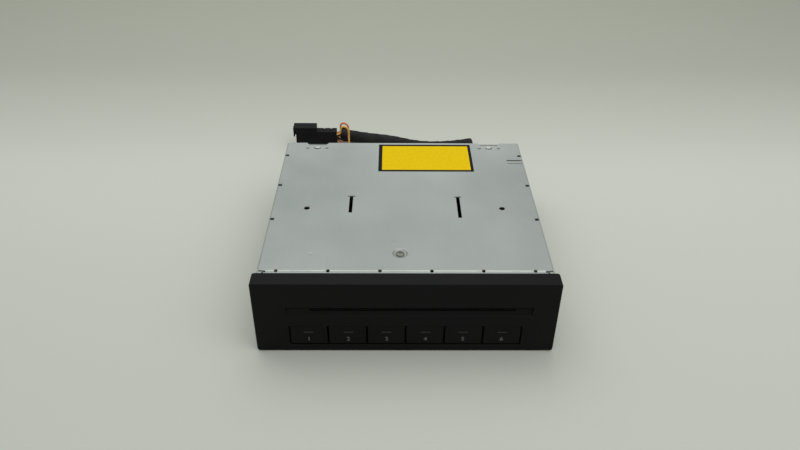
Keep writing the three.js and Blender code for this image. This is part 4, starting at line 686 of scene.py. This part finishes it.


# The cover's plating carries painted light along its depth: painted shade towards the front, a painted
# lighter tone towards the back.
zinc = zinc_plate("zinc_plated_cover", tint(142, 148, 146), tint(157, 162, 160),
                  toned=(0.93, 1.14, -0.076, 0.085))
# A paler copy of the plating, used as a painted highlight on the cover.
painted_highlight_zinc = zinc_plate("zinc_painted_highlight", tint(166, 172, 165), tint(186, 191, 184), 0.5)
COVER_LOW, COVER_HIGH = [millimetres(corner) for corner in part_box("top_cover")]
COVER_SIDE, COVER_BACK, COVER_TOP = [round(value, 1) for value in COVER_HIGH]
SKIRT_LOW = round(COVER_LOW[2], 1)
COVER_SHEET, COVER_BEND = 0.8, 1.2
FLAT_SIDE = COVER_SIDE - COVER_BEND
LIP_EDGE, LIP_SIDE, LIP_DROP, LIP_CUT = 6.4, 85.4, 0.6, 0.4
DIMPLE, SMALL_DIMPLE = (-3.3, 23.4), (-58.4, 22.5)
DISH_LEFT, DISH_RIGHT, DISH_FRONT, DISH_REAR = -9, 2.4, 17.6, 29.4
CLIP, CLIP_TONGUE = 65.5, 157.6
HOOKS, NOTCH_HALF = (60, 102, 144), 1.3
across_lines = lines_over(
    (-FLAT_SIDE, -LIP_SIDE - 0.35, 1), (-LIP_SIDE + 0.35, -LIP_SIDE + 0.35, 1), (-84.5, -69, 5),
    (-CLIP - 2.5, SMALL_DIMPLE[0] + 2.1, 0.42), (-55, -9.5, 6), (DISH_LEFT, DISH_RIGHT, 0.38), (3, 62, 7),
    (CLIP - 2.5, CLIP + 2.5, 0.42), (70, 84.5, 5), (LIP_SIDE - 0.35, LIP_SIDE - 0.35, 1),
    (LIP_SIDE + 0.35, FLAT_SIDE, 1))
behind_lines = lines_over(
    (0.3, 0.3, 1), (2.2, 2.2, 1), (4.2, 4.2, 1), (LIP_EDGE - 1.4, LIP_EDGE + 0.4, 0.2), (8, 17, 3),
    (DISH_FRONT, DISH_REAR, 0.38), (31, 151, 6.5), (CLIP_TONGUE - 2.8, CLIP_TONGUE + 2.8, 0.4),
    (COVER_BACK, COVER_BACK, 1))
left_skirt = [(-COVER_SIDE, height) for height in stepped(SKIRT_LOW, COVER_TOP - COVER_BEND, 2.2)]
left_fold = [(-FLAT_SIDE - COVER_BEND * math.cos(angle), COVER_TOP - COVER_BEND * (1 - math.sin(angle)))
             for angle in [math.pi / 2 * step / 7 for step in range(1, 7)]]
section = left_skirt + left_fold + [(x, COVER_TOP) for x in across_lines]
section += [(-x, height) for x, height in reversed(left_skirt + left_fold)]


def cover_height(x, y, height):
    """The cover's upper face: its lowered lip, the screw's dish, a locating dimple and the clips' tongues."""
    if abs(x) < LIP_SIDE and height > SKIRT_LOW + 5:
        height -= pressed_depth(y, rim=LIP_EDGE, slope=1.1, depth=LIP_DROP)
    dish = pressed_depth(math.dist((x, y), DIMPLE), rim=5.0, slope=1.5, depth=1.0)
    locating = pressed_depth(math.dist((x, y), SMALL_DIMPLE), rim=1.6, slope=1.3, depth=0.3)
    tongue = pressed_depth(math.dist((abs(x), y), (CLIP, CLIP_TONGUE)), rim=2.3, slope=1.5, depth=0.4)
    return height - dish - locating + tongue


cover_points = [metres(x, y, cover_height(x, y, height)) for y in behind_lines for x, height in section]
wide = len(section)
corners = [row * wide + line for row in range(len(behind_lines) - 1) for line in range(wide - 1)]
cover_faces = [(corner, corner + 1, corner + wide + 1, corner + wide) for corner in corners]
cover_shape = bpy.data.meshes.new("pressed_cover")
cover_shape.from_pydata(cover_points, [], cover_faces)
cover = put_in_scene("pressed_cover", cover_shape)
sheet = cover.modifiers.new("sheet", "SOLIDIFY")
sheet.thickness = COVER_SHEET / 1000
sheet.offset = -1
sheet.use_even_offset = True
settle(cover)

# Two round holes, a row of small ones at the lip's step, the screw's hole, and two long slots with a wider
# head.
holes = [round_hole(side * CLIP, 73, radius=2) for side in (-1, 1)]
holes += [round_hole(31 * (step - 2.5), LIP_EDGE - 0.27, radius=1.1, count=28) for step in range(6)]
holes += [round_hole(*DIMPLE, radius=1.5)]
half = 1.2
for middle, front, rear in ((-36.2, 67.8, 88.3), (36.6, 61.9, 87.6)):
    holes.append([
        (middle - half, front), (middle + half, front), (middle + half, rear - half),
        (middle + 2 * half, rear - half), (middle + 2 * half, rear), (middle - 2 * half, rear),
        (middle - 2 * half, rear - half), (middle - half, rear - half)])

# On each side: a clip's two small windows, the slit round its tongue and the notch behind it, a notch for
# each hook, and a slit and a small window where the lip meets the folded side.
for side in (-1, 1):
    clip, corner = side * CLIP, side * LIP_SIDE
    holes += [rounded(clip + end - 1.3, clip + end + 1.3, 154.5, 155.9, 0.5) for end in (-7.3, 7.3)]
    holes += [arc(clip, 157.2, 3.3, -2.6, -0.55) + arc(clip, 158, 2.6, -2.5, -0.65)[::-1]]
    holes += [[(clip - 6.4, 159.8), (clip + 6.4, 159.8), (clip + 8.6, 164), (clip - 8.6, 164)]]
    notch = sorted((side * 85.6, side * 89.6))
    holes += [rounded(*notch, hook - NOTCH_HALF, hook + NOTCH_HALF, 0.3) for hook in HOOKS]
    holes += [[(corner - LIP_CUT, -1), (corner + LIP_CUT, -1), (corner + LIP_CUT, LIP_EDGE - 1),
               (corner - LIP_CUT, LIP_EDGE - 1)]]
    holes += [rounded(*sorted((side * 83.6, side * 88)), LIP_EDGE - 1.4, LIP_EDGE - 0.2, 0.3)]

# Two narrow slots at the rear right.
holes += [rounded(76.7, 87.9, y - half, y + half, 0.3) for y, half in ((133, 0.35), (137.3, 0.8))]
cut_out(cover, plate("cover_holes", holes, COVER_TOP - 2 * COVER_SHEET, COVER_TOP + 1))
shade(cover.data, 35)
stand_for(cover, "top_cover", "zinc_steel", zinc, painted_highlight_zinc)

# A painted highlight: the upward, sloping faces of the lip's step and of the clips' tongues get the paler
# plating.
for face in cover.data.polygons:
    x, y, z = millimetres(face.center)
    turned_up = face.normal.z > 0.5 and (face.normal.y < -0.12 or face.normal.z < 0.985)
    front_step = LIP_EDGE - 0.5 < y < LIP_EDGE + 0.2
    rear_tongue = y > 155 and abs(abs(x) - CLIP) < 1.7
    if turned_up and (front_step or rear_tongue) and z > COVER_TOP - 1.5:
        face.material_index = 1


# Label: a thin film of printed plastic, glossy and yellow inside a black border. It is stuck near the
# cover's back edge.
def printed_film(name, colour, paler):
    """Printed film: an even glossy colour, slightly mottled, with small pits and the wrinkles of its glue."""
    made, tree, place = new_finish(name, 0.4, gloss=0.04)
    mottling = blended(tree, spread(tree, noise(tree, place, 420, 4), 0, 1), colour, paler)
    return dress(made, mottling, spread(tree, noise(tree, place, 60), 0.28, 0.42),
                 [(noise(tree, place, 240, 2), 0.00002), (noise(tree, place, 40), 0.00008)])


label_layers = (
    ("label_film", rounded(-18.5, 51.1, 121, 161, 0.8), 0.01, 0.09,
     printed_film("label_border", tint(18, 18, 20), tint(28, 28, 30))),
    ("label_print", rounded(-15.8, 49, 123.2, 158.5, 0.6), 0.08, 0.105,
     printed_film("label_field", tint(206, 172, 0), tint(214, 181, 2))))
for name, outline, low, high, finish in label_layers:
    layer = plate(name, [outline], COVER_TOP + low, COVER_TOP + high)
    layer.data.materials.append(finish)
    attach(layer, "case")

# Screws: zinc-plated steel, with a domed head and a cross recess. One stands in the cover's dish, and one
# in each side at the back.
steel_screw = zinc_plate("screw_steel", tint(96, 102, 92), tint(128, 132, 124))


def turned(name, profile, place):
    """A solid turned from a profile of radii and heights in millimetres. place sets its three values."""
    count, rings = 48, len(profile)
    turns = [math.tau * step / count for step in range(count)]
    points = [metres(*place(radius * math.cos(turn), radius * math.sin(turn), height))
              for radius, height in profile for turn in turns]
    faces = []
    for ring in range(rings - 1):
        for step in range(count):
            after = (step + 1) % count
            faces.append((ring * count + step, ring * count + after, (ring + 1) * count + after,
                          (ring + 1) * count + step))
    faces.append([count - 1 - step for step in range(count)])
    faces.append([(rings - 1) * count + step for step in range(count)])
    return closed_solid(name, points, faces)


def cross_screw(name, shank, head, under, tall, long, place):
    """A cross-recessed screw whose head lies on the height under, with a shank that goes down from it."""
    dome = [(head * math.cos(angle), under + tall * (0.35 + 0.65 * math.sin(angle)))
            for angle in [math.pi / 2 * step / 6 for step in range(6)]]
    profile = [(shank * 0.5, under - long), (shank, under - long + 0.6), (shank, under), (head, under), *dome,
               (head * 0.12, under + tall)]
    screw = turned(name, profile, place)
    arm, reach = head * 0.13, head * 0.6
    cross = [(reach, -arm), (reach, arm), (arm, arm), (arm, reach), (-arm, reach), (-arm, arm), (-reach, arm),
             (-reach, -arm), (-arm, -arm), (-arm, -reach), (arm, -reach), (arm, -arm)]
    cut_out(screw, plate(name + "_cross", [cross], under + tall * 0.35, under + tall * 1.5, place))
    ease(screw, 0.00005)
    return screw


dish_screw = cross_screw("dish_screw", shank=1.2, head=2.7, under=49.15, tall=1.15, long=3.4,
                         place=lambda a, b, c: (a + DIMPLE[0], b + DIMPLE[1], c))
stand_for(dish_screw, "cover_screw", "bright_steel", steel_screw)
for side, word in ((-1, "left"), (1, "right")):
    side_screw = cross_screw(f"case_screw_{word}", shank=1.2, head=2.6, under=88.2, tall=0.78, long=3.2,
                             place=lambda a, b, c: (side * c, a + 156, b + 22))
    stand_for(side_screw, f"side_screw_{word}", "bright_steel", steel_screw)

# Chassis tray: the folded floor and sides, of the same zinc-plated sheet, with raised pads at its screw
# holes, windows for the fascia's hooks, vents in the floor and a low front lip.
HOOK_FOOT, HOOK_INNER, HOOK_HALF = 48.3, 84, 2.5


def tray_part(x, y, z):
    """The sheet, or the tips of the hooks that stand in the cover's notches, whose dark finish is painted
    shade.
    """
    at_hook = min(abs(y - hook) for hook in HOOKS) < HOOK_HALF
    return 1 if z > HOOK_FOOT and abs(x) > HOOK_INNER and at_hook else 0


zinc_case = zinc_plate("zinc_plated_case", tint(118, 124, 122), tint(134, 139, 137), 1.4)
# The hooks' tips get a dark finish as painted shade, where they stand in the cover's notches.
hook_painted_shade = moulding("hook_painted_shade", tint(14, 15, 15), tint(24, 25, 25), grain=1800, roughness=(0.6, 0.8))
eased_copy("chassis_tray", "case", "zinc_steel", 0.00012, zinc_case, hook_painted_shade, choose=tray_part)

# Rear panel: a plate with folded side flanges, a window for the socket and a row of upright vents. Two
# tongues are folded forward from its top edge and show in the cover's rear notches.
eased_copy("rear_panel", "case", "zinc_steel", 0.00012, zinc_case)
TONGUE_HALF, TONGUE_FRONT, TONGUE_BACK, TONGUE_LOW, TONGUE_HIGH = 6.2, 160.3, 163.4, 48.3, 48.9
for side, word in ((-1, "left"), (1, "right")):
    outline = rounded(side * CLIP - TONGUE_HALF, side * CLIP + TONGUE_HALF, TONGUE_FRONT, TONGUE_BACK, 0.5)
    rear_tongue = plate(f"rear_tongue_{word}", [outline], TONGUE_LOW, TONGUE_HIGH)
    ease(rear_tongue, 0.00012)
    rear_tongue.data.materials.append(zinc_case)
    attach(rear_tongue, "case")

# Rear socket: a white nylon housing in the rear panel's window, which opens backwards. Two rows of brass
# contacts stand in it, and the loom's plug covers them.
SOCKET_ACROSS, SOCKET_UP = 55, 20
CONTACTS_HALF, CONTACTS_TALL, CONTACTS_FRONT, CONTACTS_BACK = 6.5, 3, 151.6, 160


def socket_part(x, y, z):
    """The housing, or the contacts in the middle of its opening."""
    in_rows = abs(x - SOCKET_ACROSS) < CONTACTS_HALF and abs(z - SOCKET_UP) < CONTACTS_TALL
    return 1 if in_rows and CONTACTS_FRONT < y < CONTACTS_BACK else 0


white_nylon = moulding("white_nylon", tint(196, 194, 182), tint(214, 212, 202), grain=1500, depth=0.000012,
                       roughness=(0.34, 0.46))
eased_copy("rear_socket", "case", "white_moulding", 0.00015, white_nylon, contact_brass, choose=socket_part)

# Mechanism frame: bright sheet steel, folded into two sides, a rear wall and two front beams, on feet that
# stand on the dampers. The feed bracket, of the same sheet, carries the roller shaft under the cover.
frame_steel = zinc_plate("frame_steel", tint(138, 141, 142), tint(160, 163, 164), 0.8)
for node in ("mech_frame", "feed_bracket"):
    eased_copy(node, "case", "bright_steel", 0.00012, frame_steel)


# Dampers: soft rubber mushrooms between the tray's floor and the frame's feet. They keep the road's shake
# from the works.
def soft_rubber(name, colour, paler):
    """Rubber: matt and dusty, with a fine moulded skin."""
    made, tree, place = new_finish(name, 0.8, gloss=0.3)
    bloom = noise(tree, place, 260, 5)
    dusty = blended(tree, spread(tree, bloom, 0, 1, 0.35, 0.7), colour, paler)
    return dress(made, dusty, spread(tree, bloom, 0.68, 0.9),
                 [(noise(tree, place, 3000), 0.00002), (bloom, 0.00004)])


rubber = soft_rubber("damper_rubber", tint(26, 26, 26), tint(44, 44, 43))
for word in ("front_left", "front_right", "rear_left", "rear_right"):
    eased_copy(f"damper_{word}", "case", "rubber", 0.0004, rubber)


# Slot seal and dust flap: a black felt pad with a slit, glued behind the disc slot, and behind it a thin
# flap of acetal that swings inwards on its own pivots.
def black_felt(name):
    """Pressed felt: dark fibres that lie every way, some caught by the light."""
    made, tree, place = new_finish(name, 0.95, gloss=0.1)
    fibres = noise(tree, place, 2400, 6, (1, 1, 0.4))
    fuzzy = blended(tree, spread(tree, fibres, 0, 1, 0.4, 0.7), tint(10, 10, 11), tint(34, 34, 35))
    return dress(made, fuzzy, relief=[(fibres, 0.00012)])


eased_copy("slot_felt", "case", "felt", 0.0001, black_felt("black_felt"))
dark_plastic = moulding("dark_acetal", tint(36, 37, 39), tint(52, 53, 55), grain=2200, depth=0.000012,
                        roughness=(0.34, 0.48))
eased_copy("dust_flap", "flap", "dark_moulding", 0.00015, dark_plastic)


# Key board: a printed board, coloured black as painted shade, so that the gaps between the keys look dark. A
# white-stemmed switch stands behind each key, and a small lamp between each pair.
def printed_board(name, colour, paler):
    """A circuit board: lacquer over copper tracks that run both ways, with pads here and there."""
    made, tree, place = new_finish(name, 0.35)
    cells = add_node(tree, "ShaderNodeTexBrick", {
        "Vector": place, "Scale": 130.0, "Mortar Size": 0.03, "Color1": colour, "Color2": paler,
        "Mortar": paler})
    pads = add_node(tree, "ShaderNodeTexVoronoi", {"Vector": place, "Scale": 420.0}).outputs["Distance"]
    tinned = blended(tree, spread(tree, pads, 1, 0, 0.12, 0.16), cells.outputs["Color"], tint(168, 160, 120))
    return dress(made, tinned, relief=[(cells.outputs["Fac"], 0.00003), (pads, 0.00003)])


BOARD_FRONT, LAMP_FRONT, SWITCH_FRONT = -2.7, -3.6, -5.75


def key_board_part(x, y, z):
    """The board at the back, the switches' dark bodies on it, or what is pale: their stems and the lamps."""
    if y > BOARD_FRONT:
        return 0
    return 2 if y > LAMP_FRONT or y < SWITCH_FRONT else 1


# The board's black is painted shade for the gaps between the keys.
key_board_painted_shade = printed_board("black_board_painted_shade", tint(14, 16, 15), tint(24, 27, 25))
eased_copy("key_board", "case", "circuit_board", 0.00012, key_board_painted_shade, dark_plastic, white_nylon,
           choose=key_board_part)

# Main board: a green printed board on posts of the tray's floor, with moulded chips, three capacitors in
# dark sleeves and a white header.
BOARD_TOP, CAPACITOR_REACH = 4.85, 3.4
CAPACITORS = ((-17.8, 24), (34.1, 12), (43.6, 12))
HEADER_RIGHT, HEADER_BACK = -23, 10


def main_board_part(x, y, z):
    """The board itself, its chips, its capacitors or its header."""
    if z < BOARD_TOP:
        return 0
    if any(math.dist((x, y), capacitor) < CAPACITOR_REACH for capacitor in CAPACITORS):
        return 2
    return 3 if x < HEADER_RIGHT and y < HEADER_BACK else 1


green_lacquer = printed_board("green_board", tint(22, 70, 40), tint(36, 96, 56))
sleeve_film = moulding("capacitor_sleeve", tint(24, 30, 44), tint(38, 46, 64), grain=900, depth=0.000006,
                       roughness=(0.25, 0.36))
eased_copy("main_board", "case", "circuit_board", 0.00012, green_lacquer, dark_plastic, sleeve_film,
           white_nylon, choose=main_board_part)

# Disc stack: six thin crescent trays of dark acetal, each held by an ear in a left and a right carrier. The
# carriers ride on pins in the frame and the slider plates.
for tray in range(1, 7):
    eased_copy(f"disc_tray_{tray}", "tray_stack", "dark_moulding", 0.00015, dark_plastic)
for word in ("left", "right"):
    eased_copy(f"carrier_{word}", "tray_stack", "dark_moulding", 0.00015, dark_plastic)

# Slider plates: punched steel strips with inclined slots for the carriers' pins, and a rack. One slides
# outside each side of the frame, and both move together.
bright_steel = polished_metal("punched_steel", tint(158, 160, 162), tint(188, 190, 192), (0.5, 0.05, 1),
                              (0.28, 0.42))
for word in ("left", "right"):
    eased_copy(f"slider_{word}", f"slide_plate_{word}", "bright_steel", 0.00008, bright_steel)

# Lift: a ground steel cross shaft with a pinion at each end and a moulded wheel, which the brass pinion of
# the lift motor turns. The three motors of the case have the same drawn steel can.
ground_steel = polished_metal("ground_steel", tint(168, 170, 172), tint(198, 200, 202), (0.05, 1, 1),
                              (0.18, 0.3))
motor_can = polished_metal("motor_can", tint(150, 152, 154), tint(184, 186, 188), (0.1, 1, 1), (0.24, 0.38))
eased_copy("lift_shaft", "cross_shaft", "bright_steel", 0.00006, ground_steel)
eased_copy("lift_wheel", "cross_shaft", "white_moulding", 0.00006, white_nylon)
eased_copy("lift_motor_pinion", "lift_pinion", "brass", 0.00005, contact_brass)
for node in ("lift_motor", "load_motor", "swing_motor"):
    eased_copy(node, "case", "bright_steel", 0.0002, motor_can)

# Loading: a white moulded shaft with its wheel, two tapered rubber rollers pressed on it above the disc's
# path, and the load motor's brass pinion.
eased_copy("feed_shaft", "rollers", "white_moulding", 0.00006, white_nylon)
roller_rubber = soft_rubber("roller_rubber", tint(30, 30, 31), tint(52, 52, 52))
for word in ("left", "right"):
    eased_copy(f"feed_roller_{word}", "rollers", "rubber", 0.0002, roller_rubber)
eased_copy("load_motor_pinion", "load_pinion", "brass", 0.00005, contact_brass)

# Lower disc guide: a shelf of dark acetal under the disc's path, with a raised rail at each side. The
# rollers press the disc down on its rails.
eased_copy("disc_guide", "case", "dark_moulding", 0.0001, dark_plastic)

# Play arm: a punched steel deck with its own gear, two ground guide rods, the spindle motor and the sled's
# motor. It turns on the frame's shelf, and the swing motor's brass pinion drives it.
eased_copy("arm_deck", "play_arm", "bright_steel", 0.00008, bright_steel)
for word in ("front", "rear"):
    eased_copy(f"guide_rod_{word}", "play_arm", "bright_steel", 0.0002, ground_steel)
for node in ("spindle_motor", "sled_motor"):
    eased_copy(node, "play_arm", "bright_steel", 0.0002, motor_can)
eased_copy("swing_pinion", "arm_pinion", "brass", 0.00005, contact_brass)

# Turntable: dark acetal on the spindle motor's shaft, with three steel balls in its hub that centre the
# disc.
HUB, BALLS, BALL_REACH = (-34.4, 18, 27.4), ((0, 6.8), (-5.9, -3.4), (5.9, -3.4)), 1.05


def turntable_part(x, y, z):
    """The turntable, or one of the balls in its hub."""
    gaps = [math.dist((x, y, z), (HUB[0] + a, HUB[1] + b, HUB[2])) for a, b in BALLS]
    return 1 if min(gaps) < BALL_REACH else 0


eased_copy("turntable", "disc_table", "dark_moulding", 0.0001, dark_plastic, ground_steel,
           choose=turntable_part)

# Pickup: a sled of dark acetal on the two rods, with a rack at its side and a coated glass lens in a ring.
# The sled motor's brass pinion moves it.
LENS, LENS_REACH, LENS_LOW = (-11.4, 18), 1.75, 27.4


def sled_part(x, y, z):
    """The sled, or the lens on it."""
    return 1 if math.dist((x, y), LENS) < LENS_REACH and z > LENS_LOW else 0


lens_glass = polished_metal("coated_lens", tint(52, 44, 92), tint(84, 70, 130), (1, 1, 1), (0.05, 0.1))
eased_copy("pickup_sled", "sled", "dark_moulding", 0.0001, dark_plastic, lens_glass, choose=sled_part)
eased_copy("sled_pinion", "sled_gear", "brass", 0.00005, contact_brass)
